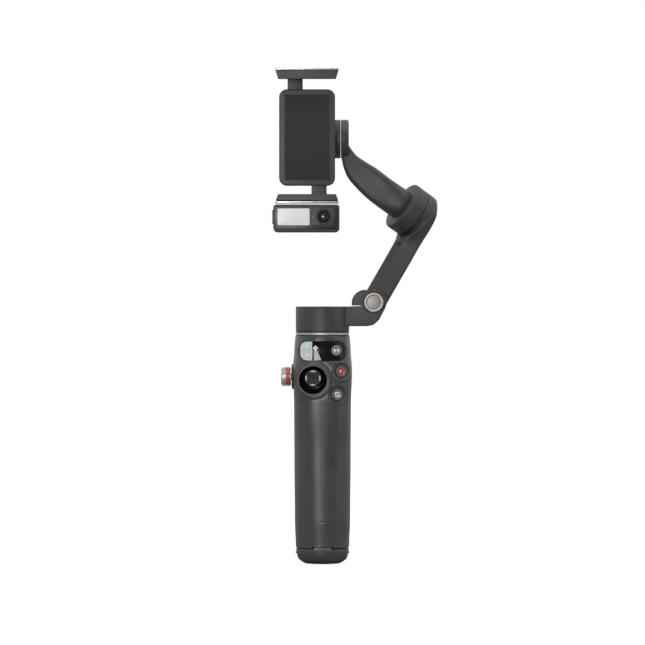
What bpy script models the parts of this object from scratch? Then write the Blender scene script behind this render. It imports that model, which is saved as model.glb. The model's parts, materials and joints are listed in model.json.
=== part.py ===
"""A folding three-axis hand-held stabiliser with a magnetic phone clamp.

Metres, +Z up. The origin is the middle of the handle's foot, on the pan axis.
The controls face -Y, and the folding arm stands on the +X side.
"""

import math

import bmesh
import bpy
from mathutils import Matrix, Vector

# ---- driving dimensions -------------------------------------------------------------------

GAP = 0.0003                      # clearance between neighbouring pieces
ROUND_SIDES = 36                  # facets of a large turned piece
SMALL_SIDES = 16                  # facets of a small turned piece

# handle: height, half width, front depth, rear depth, squareness of the section
HANDLE_STATIONS = (
    (0.0103, 0.0173, 0.0173, 0.0173, 2.0),
    (0.0300, 0.0179, 0.0181, 0.0186, 2.1),
    (0.0700, 0.0182, 0.0187, 0.0194, 2.2),
    (0.1010, 0.0184, 0.0196, 0.0196, 2.5),
    (0.1245, 0.0191, 0.0205, 0.0204, 3.0),
    (0.1380, 0.0182, 0.0192, 0.0190, 2.7),
    (0.1465, 0.0176, 0.0176, 0.0176, 2.05),
)
HANDLE_ROWS = 12
SHELL_WALL = 0.0018
SHELL_SPLIT_Y = 0.0080            # where the front and rear shells meet
COLLAR_TOP = 0.0098               # top of the three feet that close the handle's mouth
COLLAR_RADIUS = 0.0172

# tripod
POST_RADIUS = 0.0049
SOCKET_BORE = 0.0032              # 1/4 inch camera thread
LEG_PIVOT_RADIUS = 0.0072
LEG_PIVOT_Z = 0.0660
LEG_WIDTH = 0.0090
LEG_INNER = 0.0054
LEG_OUTER = 0.0092
LEG_ANGLES = {"leg_front": -90.0, "leg_right": 30.0, "leg_left": 150.0}

# telescopic rod
ROD_BOTTOM = 0.0800
ROD_TOP = 0.1462
ROD_WALL = 0.0006
ROD_OUTER_RADII = (0.0104, 0.0095, 0.0086, 0.0077, 0.0068)

# pan motor and lower arm
PAN_RADIUS = 0.01725
PAN_BOTTOM = 0.1493
PAN_TOP = 0.1654
MOTOR_WALL = 0.0018
HINGE = Vector((0.0330, 0.0, 0.1680))
EAR_RADIUS = 0.0082
ARM_FRONT_Y = -0.0085
ARM_SPLIT_Y = 0.0002
ARM_REAR_Y = 0.0082
PIN_RADIUS = 0.0025

# upper arm and roll motor
ROLL_CENTRE = Vector((0.0590, 0.0154, 0.22575))
ROLL_AXIS = Vector((-0.778, -0.309, 0.547)).normalized()
ROLL_RADIUS = 0.0164
ROLL_CUP_LENGTH = 0.0098
ARM_CAP_LENGTH = 0.0090
ARM_HALF_WIDTH = 0.0077
ARM_DEPTH = 0.0130
ARM_FACET = 0.0050
ARM_EDGE = 0.0012
ARM_REAR_EDGE = 0.0030
ARM_SET_BACK = 0.0040             # how far the bar has leant back where the head starts
HEEL_RADIUS = 0.0085
HEEL_CENTRE = (0.0274, 0.1677)

# tilt motor, mount plate and clamp
TILT_CENTRE = Vector((-0.0099, 0.0130, 0.2741))
TILT_RADIUS = 0.0125
LINK_ROOT_RADIUS = 0.0098
LINK_ELBOW = (0.0094, 0.0058)     # half width and half depth where the link turns upwards
LINK_ELBOW_CENTRE = Vector((0.0360, 0.0096, 0.2420))
EAR_INNER_X = 0.0120
EAR_THICKNESS = 0.0050
PLATE_FRONT_Y = -0.0019
CLAMP_X = -0.0099
CLAMP_Z = 0.2741
CLAMP_BACK_Y = -0.0024
CLAMP_FRONT_Y = -0.0070
PHONE_BACK_Y = -0.0079
PHONE_FRONT_Y = -0.0162
PHONE_LOW_Z = 0.2355
PHONE_HIGH_Z = 0.3127
JAW_FRONT_Y = -0.0177
JAW_OUTER_HALF = 0.0202
JAW_INNER_HALF = 0.0185
TRIM_THICKNESS = 0.0011

# light and tracking module
MODULE_LOW = Vector((-0.0315, -0.0190, 0.2129))
MODULE_HIGH = Vector((0.0109, -0.0070, 0.2306))
LENS_X = 0.0010
LENS_Z = 0.2228

# controls, as (x, z) on the front of the handle
JOYSTICK = (-0.0061, 0.1182)
STICK_PIVOT = Vector((-0.0061, -0.0131, 0.1195))
RECORD = (0.0120, 0.1238)
SWITCH = (0.0095, 0.1090)
MODE = (0.0089, 0.1372)
BUTTON_DEPTH = 0.0042
DISPLAY_X = (-0.0145, 0.0147)
DISPLAY_Z = (0.1306, 0.1431)
WHEEL_Z = 0.1203
TRIGGER_PIVOT = Vector((0.0, 0.0160, 0.1315))

# ---- materials ----------------------------------------------------------------------------

FINISHES = {
    "soft_grip": ((0.075, 0.076, 0.078), 0.55, 0.0),
    "arm_paint": ((0.045, 0.045, 0.046), 0.45, 0.2),
    "black_plastic": ((0.012, 0.012, 0.013), 0.35, 0.0),
    "bright_metal": ((0.60, 0.58, 0.56), 0.25, 1.0),
    "steel": ((0.45, 0.45, 0.46), 0.35, 1.0),
    "brass": ((0.60, 0.42, 0.18), 0.35, 1.0),
    "copper": ((0.70, 0.32, 0.15), 0.35, 1.0),
    "rubber": ((0.030, 0.030, 0.032), 0.80, 0.0),
    "red": ((0.55, 0.03, 0.02), 0.40, 0.0),
    "diffuser": ((0.80, 0.80, 0.80), 0.50, 0.0),
    "board": ((0.02, 0.12, 0.05), 0.60, 0.0),
    "glass": ((0.010, 0.010, 0.012), 0.08, 0.0),
}


def make_finish(name):
    colour, roughness, metallic = FINISHES[name]
    material = bpy.data.materials.new(name)
    material.use_nodes = True
    shader = material.node_tree.nodes["Principled BSDF"]
    shader.inputs["Base Color"].default_value = (*colour, 1.0)
    shader.inputs["Roughness"].default_value = roughness
    shader.inputs["Metallic"].default_value = metallic
    return material


# ---- scene --------------------------------------------------------------------------------

for leftover in list(bpy.data.objects):
    bpy.data.objects.remove(leftover, do_unlink=True)

PARTS = bpy.data.collections.new("camera_gimbal")
CUTTERS = bpy.data.collections.new("cutters")
bpy.context.scene.collection.children.link(PARTS)
bpy.context.scene.collection.children.link(CUTTERS)
CUTTERS.hide_render = True
MATERIALS = {name: make_finish(name) for name in FINISHES}


def object_from(bm, name, finish=None):
    """A part in the parts collection, or a cutter when it has no finish."""
    bmesh.ops.recalc_face_normals(bm, faces=bm.faces)
    mesh = bpy.data.meshes.new(name)
    bm.to_mesh(mesh)
    bm.free()
    obj = bpy.data.objects.new(name, mesh)
    if finish is None:
        CUTTERS.objects.link(obj)
        obj.hide_render = True
        obj.display_type = "WIRE"
    else:
        PARTS.objects.link(obj)
        mesh.materials.append(MATERIALS[finish])
        mesh.shade_smooth()
        mesh.set_sharp_from_angle(angle=math.radians(30))
    return obj


def combine(obj, other, operation):
    """Adds or cuts a helper with a Boolean that stays on the object."""
    modifier = obj.modifiers.new(operation.title(), "BOOLEAN")
    modifier.operation = operation
    modifier.object = other
    return obj


def cut(obj, *others):
    for other in others:
        combine(obj, other, "DIFFERENCE")
    return obj


def join(obj, *others):
    for other in others:
        combine(obj, other, "UNION")
    return obj


def box(name, low, high, finish=None, bevel=0.0):
    """A box between two corners, with its edges rounded."""
    low = Vector(low)
    high = Vector(high)
    size = high - low
    bm = bmesh.new()
    bmesh.ops.create_cube(bm, size=1.0)
    bmesh.ops.scale(bm, vec=size, verts=bm.verts)
    if bevel > 0:
        bmesh.ops.bevel(bm, geom=bm.edges[:], offset=bevel, segments=2, affect="EDGES", profile=0.5)
    obj = object_from(bm, name, finish)
    obj.location = (low + high) / 2
    return obj


def turned(name, profile, centre, axis=(0, 0, 1), finish=None, sides=ROUND_SIDES):
    """A solid of revolution. profile is a closed loop of (radius, height along the axis)."""
    following = profile[1:] + profile[:1]
    area = sum(a[0] * b[1] - b[0] * a[1] for a, b in zip(profile, following))
    bm = bmesh.new()
    loop = [bm.verts.new((radius, 0.0, height)) for radius, height in profile[:: -1 if area > 0 else 1]]
    for first, second in zip(loop, loop[1:] + loop[:1]):
        if max(first.co.x, second.co.x) > 0:
            bm.edges.new((first, second))
    obj = object_from(bm, name, finish)
    screw = obj.modifiers.new("Turn", "SCREW")
    screw.steps = sides
    screw.render_steps = sides
    screw.use_merge_vertices = True
    screw.merge_threshold = 0.00001
    screw.use_smooth_shade = False
    obj.location = centre
    obj.rotation_mode = "QUATERNION"
    obj.rotation_quaternion = Vector(axis).to_track_quat("Z", "Y")
    return obj


def cylinder(name, radius, start, end, finish=None, sides=SMALL_SIDES, bevel=0.0):
    """A round bar from one point to another, with its far edge rounded."""
    start = Vector(start)
    length = (Vector(end) - start).length
    bm = bmesh.new()
    made = bmesh.ops.create_cone(
        bm, cap_ends=True, segments=sides, radius1=radius, radius2=radius, depth=length
    )
    bmesh.ops.translate(bm, verts=made["verts"], vec=(0, 0, length / 2))
    if bevel > 0:
        rim = [e for e in bm.edges if all(v.co.z > length - 1e-6 for v in e.verts)]
        bmesh.ops.bevel(bm, geom=rim, offset=bevel, segments=3, affect="EDGES", profile=0.5)
    obj = object_from(bm, name, finish)
    obj.location = start
    obj.rotation_mode = "QUATERNION"
    obj.rotation_quaternion = (Vector(end) - start).to_track_quat("Z", "Y")
    return obj


def bar_along_y(name, radius, place, low, high, finish=None, sides=SMALL_SIDES, bevel=0.0):
    """A round bar at an (x, z) place, from one Y to another."""
    start = (place[0], low, place[1])
    end = (place[0], high, place[1])
    return cylinder(name, radius, start, end, finish, sides, bevel)


def ring(name, inner, outer, start, end, finish=None, sides=ROUND_SIDES):
    """A tube or washer from one point to another."""
    length = (Vector(end) - Vector(start)).length
    profile = ((inner, 0.0), (outer, 0.0), (outer, length), (inner, length))
    return turned(name, profile, start, Vector(end) - Vector(start), finish, sides)


def plate(name, outline, low, high, normal="Y", finish=None):
    """A flat outline, as a 2D curve, given thickness between low and high along its normal."""
    curve = bpy.data.curves.new(name + "_outline", "CURVE")
    curve.dimensions = "2D"
    curve.fill_mode = "BOTH"
    curve.extrude = (high - low) / 2
    spline = curve.splines.new("POLY")
    spline.points.add(len(outline) - 1)
    for point, (u, v) in zip(spline.points, outline):
        point.co = (u, v, 0.0, 1.0)
    spline.use_cyclic_u = True
    source = bpy.data.objects.new(name + "_outline", curve)
    bpy.context.scene.collection.objects.link(source)
    bpy.context.view_layer.update()
    graph = bpy.context.evaluated_depsgraph_get()
    mesh = bpy.data.meshes.new_from_object(source.evaluated_get(graph))
    bm = bmesh.new()
    bm.from_mesh(mesh)
    bmesh.ops.remove_doubles(bm, verts=bm.verts, dist=1e-6)
    middle = (low + high) / 2
    if normal == "Y":
        turn = Matrix(((1, 0, 0, 0), (0, 0, -1, middle), (0, 1, 0, 0), (0, 0, 0, 1)))
    elif normal == "X":
        turn = Matrix(((0, 0, 1, middle), (1, 0, 0, 0), (0, 1, 0, 0), (0, 0, 0, 1)))
    else:
        turn = Matrix.Translation((0, 0, middle))
    bm.transform(turn)
    bpy.data.objects.remove(source)
    bpy.data.meshes.remove(mesh)
    bpy.data.curves.remove(curve)
    return object_from(bm, name, finish)


def hull(name, points, finish=None):
    """The convex solid around a set of points, for a loft between unlike sections."""
    bm = bmesh.new()
    for point in points:
        bm.verts.new(point)
    made = bmesh.ops.convex_hull(bm, input=bm.verts)
    inside = {item for item in made["geom_interior"] + made["geom_unused"]}
    loose = [item for item in inside if isinstance(item, bmesh.types.BMVert)]
    bmesh.ops.delete(bm, geom=loose, context="VERTS")
    bmesh.ops.dissolve_limit(bm, angle_limit=math.radians(0.5), verts=bm.verts, edges=bm.edges)
    return object_from(bm, name, finish)


def arc(centre, radius, first, last, steps):
    """Points on an arc, by angles in degrees, both ends included."""
    return [
        (
            centre[0] + radius * math.cos(math.radians(first + (last - first) * i / steps)),
            centre[1] + radius * math.sin(math.radians(first + (last - first) * i / steps)),
        )
        for i in range(steps + 1)
    ]


def rounded_rectangle(low, high, radius, steps=4):
    """The outline of a rectangle with round corners."""
    corners = (
        ((high[0] - radius, low[1] + radius), -90),
        ((high[0] - radius, high[1] - radius), 0),
        ((low[0] + radius, high[1] - radius), 90),
        ((low[0] + radius, low[1] + radius), 180),
    )
    outline = []
    for centre, angle in corners:
        outline += arc(centre, radius, angle, angle + 90, steps)
    return outline


# ---- handle -------------------------------------------------------------------------------


def handle_section(z):
    """Half width, front depth, rear depth and squareness at a height, eased between stations."""
    z = min(max(z, HANDLE_STATIONS[0][0]), HANDLE_STATIONS[-1][0])
    for lower, upper in zip(HANDLE_STATIONS, HANDLE_STATIONS[1:]):
        if z <= upper[0]:
            share = (z - lower[0]) / (upper[0] - lower[0])
            share = share * share * (3 - 2 * share)
            return [a + (b - a) * share for a, b in zip(lower[1:], upper[1:])]
    return list(HANDLE_STATIONS[-1][1:])


def handle_point(z, angle, inset):
    width, front, rear, square = handle_section(z)
    power = 2.0 / square
    cosine = math.cos(angle)
    sine = math.sin(angle)
    depth = rear if sine > 0 else front
    x = (width - inset) * math.copysign(abs(cosine) ** power, cosine)
    y = (depth - inset) * math.copysign(abs(sine) ** power, sine)
    return x, y, z


def handle_loft(name, inset, bottom, top, finish=None):
    """The handle's outer form, or the same drawn in by inset, between two heights."""
    bm = bmesh.new()
    rows = []
    for row in range(HANDLE_ROWS + 1):
        z = bottom + (top - bottom) * row / HANDLE_ROWS
        angles = [math.tau * i / ROUND_SIDES for i in range(ROUND_SIDES)]
        rows.append([bm.verts.new((*handle_point(z, angle, inset)[:2], z)) for angle in angles])
    for lower, upper in zip(rows, rows[1:]):
        for i in range(ROUND_SIDES):
            j = (i + 1) % ROUND_SIDES
            bm.faces.new((lower[i], lower[j], upper[j], upper[i]))
    bm.faces.new(rows[0][::-1])
    bm.faces.new(rows[-1])
    return object_from(bm, name, finish)


def display_outline(grow):
    low = (DISPLAY_X[0] - grow, DISPLAY_Z[0] - grow)
    high = (DISPLAY_X[1] + grow, DISPLAY_Z[1] + grow)
    return rounded_rectangle(low, high, 0.0045 + grow, 5)


def front_cutter(name, place, radius):
    """A hole in the front of the handle."""
    return bar_along_y(name, radius, place, -0.030, -0.0135, sides=28)


def make_shells():
    bottom = HANDLE_STATIONS[0][0]
    top = HANDLE_STATIONS[-1][0]
    hollow = handle_loft("handle_hollow", SHELL_WALL, bottom - 0.002, top - 0.0016)
    rod_radius = ROD_OUTER_RADII[0] + GAP
    rod_hole = cylinder("rod_hole", rod_radius, (0, 0, 0.140), (0, 0, 0.150), sides=ROUND_SIDES)
    front = handle_loft("front_shell", 0.0, bottom, top, "soft_grip")
    rear = handle_loft("rear_shell", 0.0, bottom, top, "soft_grip")
    cut(front, box("rear_space", (-0.03, SHELL_SPLIT_Y - GAP / 2, 0), (0.03, 0.03, 0.16)))
    cut(rear, box("front_space", (-0.03, -0.03, 0), (0.03, SHELL_SPLIT_Y + GAP / 2, 0.16)))
    for shell in (front, rear):
        cut(shell, hollow, rod_hole)
    cut(front, plate("display_hole", display_outline(GAP), -0.030, -0.0095))
    cut(front, front_cutter("joystick_hole", JOYSTICK, 0.0101))
    cut(front, front_cutter("record_hole", RECORD, 0.0042))
    cut(front, front_cutter("switch_hole", SWITCH, 0.0044))
    boss_hole = cylinder("boss_hole", 0.0087, (-0.030, 0, WHEEL_Z), (-0.0125, 0, WHEEL_Z), sides=28)
    boss_hole.scale = (0.86, 1.0, 1.0)
    cut(front, boss_hole)
    cut(front, box("port_hole", (0.0140, -0.0035, 0.1005), (0.030, 0.0005, 0.1105)))
    cut(front, box("tab_notch", (-0.0066, -0.030, 0.005), (0.0066, -0.014, 0.0114)))
    lugs = [
        box("trigger_lug_left", (-0.0096, 0.0134, 0.1286), (-0.0077, 0.0182, 0.1342)),
        box("trigger_lug_right", (0.0077, 0.0134, 0.1286), (0.0096, 0.0182, 0.1342)),
    ]
    cut(rear, box("trigger_slot", (-0.0071, 0.0095, 0.1095), (0.0071, 0.030, 0.1346)))
    join(rear, *lugs)
    y, z = TRIGGER_PIVOT[1:]
    cut(rear, cylinder("trigger_pin_hole", 0.0016, (-0.0105, y, z), (0.0105, y, z), sides=14))


def make_display():
    window = handle_loft("display_window", 0.0002, 0.125, 0.1462, "glass")
    core = handle_loft("display_core", SHELL_WALL, 0.120, 0.150)
    edge = plate("display_edge", display_outline(0.0), -0.030, -0.0100)
    combine(window, edge, "INTERSECT")
    cut(window, core, front_cutter("mode_hole", MODE, 0.0037))


def make_front_button(name, place, radius, reach, finish):
    """A round push button on the front, with its cap at -Y."""
    return bar_along_y(name, radius, place, reach + BUTTON_DEPTH, reach, finish, 28, 0.0005)


def make_joystick():
    x, z = JOYSTICK
    front = -0.0203
    floor = -0.0165
    rest = (x, -0.0214, STICK_PIVOT.z)
    profile = (
        (0.0045, floor - front), (0.0084, floor - front), (0.0084, 0.0003), (0.0088, 0.0),
        (0.0094, 0.0), (0.0098, 0.0004), (0.0098, 0.0050), (0.0045, 0.0050),
    )
    turned("joystick_bezel", profile, (x, front, z), (0, 1, 0), "black_plastic", 28)
    yoke_front = (x, STICK_PIVOT.y - 0.0009, STICK_PIVOT.z)
    yoke_back = (x, STICK_PIVOT.y + 0.0009, STICK_PIVOT.z)
    ring("joystick_yoke", 0.0028, 0.0042, yoke_front, yoke_back, "steel", 20)
    cap = (
        (0.0, 0.0), (0.0043, 0.0002), (0.0052, 0.0008), (0.00535, 0.0014),
        (0.0050, 0.0019), (0.0022, 0.0021), (0.0022, 0.0086), (0.0, 0.0086),
    )
    turned("joystick_cap", cap, rest, (0, 1, 0), "rubber", 24)


def make_zoom_wheel():
    def along(x):
        return (x, 0, WHEEL_Z)
    wheel = (
        (0.0, 0.0), (0.0057, 0.0), (0.0063, 0.0005), (0.0063, 0.0035), (0.0053, 0.0035),
        (0.0053, 0.0054), (0.0063, 0.0054), (0.0063, 0.0064), (0.0020, 0.0064),
        (0.0020, 0.0140), (0.0, 0.0140),
    )
    turned("zoom_wheel", wheel, along(-0.0266), (1, 0, 0), "bright_metal", 32)
    ring("wheel_red_ring", 0.0056, 0.0062, along(-0.0229), along(-0.0214), "red", 32)
    boss = ring("wheel_boss", 0.0027, 0.0083, along(-0.0199), along(-0.0150), "rubber", 32)
    boss.scale = (0.86, 1.0, 1.0)


def make_trigger():
    y, z = TRIGGER_PIVOT[1:]
    outline = arc((y, z), 0.0022, 60, 200, 8) + [
        (y + 0.0002, z - 0.0100), (y + 0.0028, z - 0.0200), (y + 0.0062, z - 0.0206),
        (y + 0.0072, z - 0.0185), (y + 0.0056, z - 0.0090), (y + 0.0040, z - 0.0010),
    ]
    lever = plate("trigger", outline, -0.0067, 0.0067, "X", "black_plastic")
    cut(lever, cylinder("trigger_bore", 0.0015, (-0.008, y, z), (0.008, y, z)))
    cylinder("trigger_pin", 0.0012, (-0.0092, y, z), (0.0092, y, z), "steel")


def make_inside():
    board = box("control_board", (-0.0115, -0.0120, 0.1000), (0.0115, -0.0108, 0.1420), "board")
    stick_start = (STICK_PIVOT.x, -0.0130, STICK_PIVOT.z)
    cut(board, cylinder("board_window", 0.0048, stick_start, (STICK_PIVOT.x, -0.0100, STICK_PIVOT.z)))
    box("battery", (-0.0092, 0.0108, 0.0745), (0.0092, 0.0147, 0.1080), "black_plastic", 0.0006)
    shell = box("usb_port", (0.0115, -0.0032, 0.1009), (0.0176, 0.0002, 0.1101), "steel", 0.0010)
    cut(shell, box("port_mouth", (0.0125, -0.0026, 0.1015), (0.0190, -0.0004, 0.1095)))


def make_rod():
    names = ("rod_sleeve", "rod_tube_1", "rod_tube_2", "rod_tube_3", "rod_tube_4")
    for step, (name, radius) in enumerate(zip(names, ROD_OUTER_RADII)):
        low = (0, 0, ROD_BOTTOM + 0.0005 * step)
        ring(name, radius - ROD_WALL, radius, low, (0, 0, ROD_TOP), "steel", 20)


# ---- tripod -------------------------------------------------------------------------------


def make_leg(name, angle):
    """One leg: a bar inside the handle and a foot that is a third of the handle's base."""
    pivot = (LEG_PIVOT_RADIUS, 0.0, LEG_PIVOT_Z)
    bar_top = (LEG_OUTER, LEG_WIDTH / 2, LEG_PIVOT_Z - 0.0045)
    bar = box(name, (LEG_INNER, -LEG_WIDTH / 2, 0.0060), bar_top, "arm_paint")
    eye_low = (LEG_INNER + 0.0008, -0.0028, LEG_PIVOT_Z - 0.0060)
    eye = box(name + "_eye", eye_low, (LEG_OUTER, 0.0028, LEG_PIVOT_Z + 0.0016))
    foot_profile = (
        (POST_RADIUS + 0.0005, 0.0), (0.0108, 0.0), (0.0128, 0.0010), (0.0153, 0.0026),
        (0.0166, 0.0055), (COLLAR_RADIUS, COLLAR_TOP), (POST_RADIUS + 0.0005, COLLAR_TOP),
    )
    foot = turned(name + "_foot", foot_profile, (0, 0, 0), sides=42)
    reach = 0.040
    half = math.radians(60)
    edge = 0.0004
    wedge_outline = [
        (edge, 0.0), (reach * math.cos(half), reach * math.sin(half) - 2 * edge),
        (reach, 0.0), (reach * math.cos(half), -reach * math.sin(half) + 2 * edge),
    ]
    wedge = plate(name + "_wedge", wedge_outline, -0.002, 0.012, "Z")
    combine(foot, wedge, "INTERSECT")
    bore = bar_along_y(name + "_bore", 0.00135, (pivot[0], pivot[2]), -0.006, 0.006)
    join(bar, eye, foot)
    cut(bar, bore)
    helpers = [bar, eye, foot, wedge, bore]
    if name == "leg_front":
        tab = box(name + "_tab", (0.0155, -0.0062, 0.0080), (0.0172, 0.0062, 0.0110))
        join(bar, tab)
        helpers.append(tab)
    turn = Matrix.Rotation(math.radians(angle), 4, "Z")
    for helper in helpers:
        bpy.context.view_layer.update()
        helper.matrix_world = turn @ helper.matrix_world
    return bar


def make_tripod():
    post = (
        (0.0, 0.0095), (0.0042, 0.0095), (0.0042, 0.0), (POST_RADIUS, 0.0),
        (POST_RADIUS, 0.0735), (0.0, 0.0735),
    )
    turned("tripod_post", post, (0, 0, 0), finish="steel", sides=24)
    ring("socket_insert", SOCKET_BORE, 0.0039, (0, 0, 0.0003), (0, 0, 0.0092), "brass", 24)
    carriage = ring(
        "tripod_carriage", POST_RADIUS + GAP, 0.0125,
        (0, 0, LEG_PIVOT_Z + 0.0030), (0, 0, LEG_PIVOT_Z + 0.0062), "black_plastic", 24,
    )
    for name, angle in LEG_ANGLES.items():
        make_leg(name, angle)
        turn = Matrix.Rotation(math.radians(angle), 4, "Z")
        for side in (-1, 1):
            sides = sorted((side * 0.0031, side * 0.0047))
            ear = box(
                f"{name}_ear_{side}",
                (LEG_INNER + 0.0006, sides[0], LEG_PIVOT_Z - 0.0020),
                (LEG_OUTER, sides[1], LEG_PIVOT_Z + 0.0040),
            )
            bpy.context.view_layer.update()
            ear.matrix_world = turn @ ear.matrix_world
            join(carriage, ear)
        pivot = (LEG_PIVOT_RADIUS, LEG_PIVOT_Z)
        trunnion = bar_along_y(f"{name}_trunnion", 0.00115, pivot, -0.0036, 0.0036)
        bpy.context.view_layer.update()
        trunnion.matrix_world = turn @ trunnion.matrix_world
        join(carriage, trunnion)


# ---- pan motor and lower arm --------------------------------------------------------------


def make_head():
    base = (
        (0.0, -0.0080), (0.0058, -0.0080), (0.0058, 0.0006), (0.0150, 0.0006),
        (0.0150, 0.0025), (0.0, 0.0025),
    )
    turned("head_base", base, (0, 0, ROD_TOP), finish="arm_paint", sides=24)
    ring("silver_ring", 0.0153, 0.01725, (0, 0, 0.1470), (0, 0, 0.1485), "bright_metal")
    ring("pan_stator", 0.0057, 0.0125, (0, 0, 0.1491), (0, 0, 0.1600), "copper", 20)
    ring("pan_bearing", 0.0027, 0.0054, (0, 0, 0.1491), (0, 0, 0.1540), "steel", 20)


def make_lower_arm():
    height = PAN_TOP - PAN_BOTTOM
    cup = (
        (0.0, 0.0), (PAN_RADIUS, 0.0), (PAN_RADIUS, height - 0.0006), (PAN_RADIUS - 0.0006, height),
        (0.0, height),
    )
    arm = turned("lower_arm", cup, (0, 0, PAN_BOTTOM), finish="arm_paint", sides=42)
    hinge = (HINGE.x, HINGE.z)
    bottom = 0.1527
    top = 0.1657
    outline = [
        (0.0130, bottom), (0.0290, bottom), (0.0321, 0.1537), (0.0345, 0.1549), (0.0361, 0.1568),
    ]
    outline += arc(hinge, EAR_RADIUS, -30, 196, 20) + [(0.0130, top)]
    front = plate("lower_arm_ear", outline, ARM_FRONT_Y, ARM_SPLIT_Y - GAP / 2)
    rear_outline = [
        (0.0130, bottom), (0.0232, bottom), (0.0242, bottom + 0.001), (0.0242, top), (0.0130, top),
    ]
    rear = plate("lower_arm_root", rear_outline, ARM_SPLIT_Y - 0.002, ARM_REAR_Y)
    bore = bar_along_y("hinge_bore_front", PIN_RADIUS + GAP, hinge, -0.007, 0.002)
    seat = bar_along_y("knob_seat", 0.0067, hinge, -0.010, -0.0072, sides=32)
    inside = PAN_RADIUS - MOTOR_WALL
    hollow = cylinder("pan_hollow", inside, (0, 0, 0.1480), (0, 0, PAN_TOP - MOTOR_WALL), sides=42)
    join(arm, front, rear)
    cut(arm, hollow, bore, seat)
    cylinder("pan_shaft", 0.0024, (0, 0, 0.1494), (0, 0, PAN_TOP - MOTOR_WALL - GAP), "steel")
    ring("pan_magnets", 0.0129, 0.0151, (0, 0, 0.1505), (0, 0, 0.1600), "steel", 20)
    knob = (
        (0.0, 0.0004), (0.0046, 0.0004), (0.0049, 0.0), (0.0058, 0.0), (0.0063, 0.0005),
        (0.0063, 0.0026), (0.0, 0.0026),
    )
    turned("fold_knob", knob, (HINGE.x, -0.0102, HINGE.z), (0, 1, 0), "bright_metal", 32)
    bar_along_y("hinge_pin", PIN_RADIUS, hinge, -0.0069, 0.0100, "steel")


# ---- upper arm and roll motor -------------------------------------------------------------


def roll_point(distance):
    """A point on the roll axis, measured from the seam between arm and motor."""
    return ROLL_CENTRE + ROLL_AXIS * distance


def arm_section(centre, front_y, depth):
    """Corners of the arm's section: a chamfered bar that leans sixty degrees up to the right."""
    across = Vector((math.sin(math.radians(60)), 0, -math.cos(math.radians(60))))
    half = ARM_HALF_WIDTH
    corners = (
        (-half, ARM_FACET), (-half + ARM_FACET, 0.0), (half - ARM_EDGE, 0.0), (half, ARM_EDGE),
        (half, depth - ARM_REAR_EDGE), (half - ARM_REAR_EDGE, depth),
        (-half + ARM_REAR_EDGE, depth), (-half, depth - ARM_REAR_EDGE),
    )
    middle = Vector((centre[0], front_y, centre[1]))
    return [middle + across * side + Vector((0, back, 0)) for side, back in corners]


def round_section(distance, radius, count):
    """Points of a circle round the roll axis."""
    across = ROLL_AXIS.orthogonal().normalized() * radius
    upright = ROLL_AXIS.cross(across)
    angles = [math.tau * i / count for i in range(count)]
    return [roll_point(distance) + across * math.cos(a) + upright * math.sin(a) for a in angles]


def make_upper_arm():
    front_y = ARM_SPLIT_Y + GAP / 2
    rear_y = front_y + ARM_DEPTH - 0.0010
    low = arm_section((HINGE.x + 0.0010, HINGE.z + 0.0017), front_y, ARM_DEPTH)
    middle = arm_section((0.0500, 0.1974), front_y + ARM_SET_BACK, ARM_DEPTH)
    bar = hull("upper_arm", low + middle, "arm_paint")
    edge = 0.0026
    rims = round_section(0.0, ROLL_RADIUS, ROUND_SIDES)
    rims += round_section(edge - ARM_CAP_LENGTH, ROLL_RADIUS, ROUND_SIDES)
    rims += round_section(-ARM_CAP_LENGTH, ROLL_RADIUS - edge, ROUND_SIDES)
    head = hull("upper_arm_head", middle + rims)
    hinge = (HINGE.x, HINGE.z)
    knuckle = bar_along_y("upper_arm_knuckle", EAR_RADIUS, hinge, front_y, rear_y, None, 32, 0.0015)
    heel = bar_along_y("upper_arm_heel", HEEL_RADIUS, HEEL_CENTRE, front_y, rear_y, None, 32, 0.0015)
    cut(heel, box("heel_foot", (0.010, -0.001, 0.150), (0.040, 0.020, 0.1661)))
    join(bar, head, knuckle, heel)
    seam_space = cylinder("seam_space", 0.030, roll_point(0.0), roll_point(0.040), sides=ROUND_SIDES)
    bore = bar_along_y("hinge_bore_rear", PIN_RADIUS + GAP, hinge, -0.001, 0.0104)
    cut(bar, seam_space, bore)


def make_roll_motor():
    wall = MOTOR_WALL
    length = ROLL_CUP_LENGTH
    cup = (
        (0.0, length), (0.0, length - wall), (ROLL_RADIUS - wall, length - wall),
        (ROLL_RADIUS - wall, 0.0),
        (ROLL_RADIUS, 0.0), (ROLL_RADIUS, length - 0.0010), (ROLL_RADIUS - 0.0010, length),
    )
    turned("roll_cup", cup, roll_point(0.0004), ROLL_AXIS, "arm_paint", ROUND_SIDES)
    ring("roll_stator", 0.0052, 0.0120, roll_point(GAP), roll_point(0.0068), "copper", 20)
    ring("roll_bearing", 0.0028, 0.0049, roll_point(GAP), roll_point(0.0045), "steel", 20)
    cylinder("roll_shaft", 0.0025, roll_point(0.0008), roll_point(length - wall), "steel")


# ---- link and tilt motor ------------------------------------------------------------------


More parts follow.
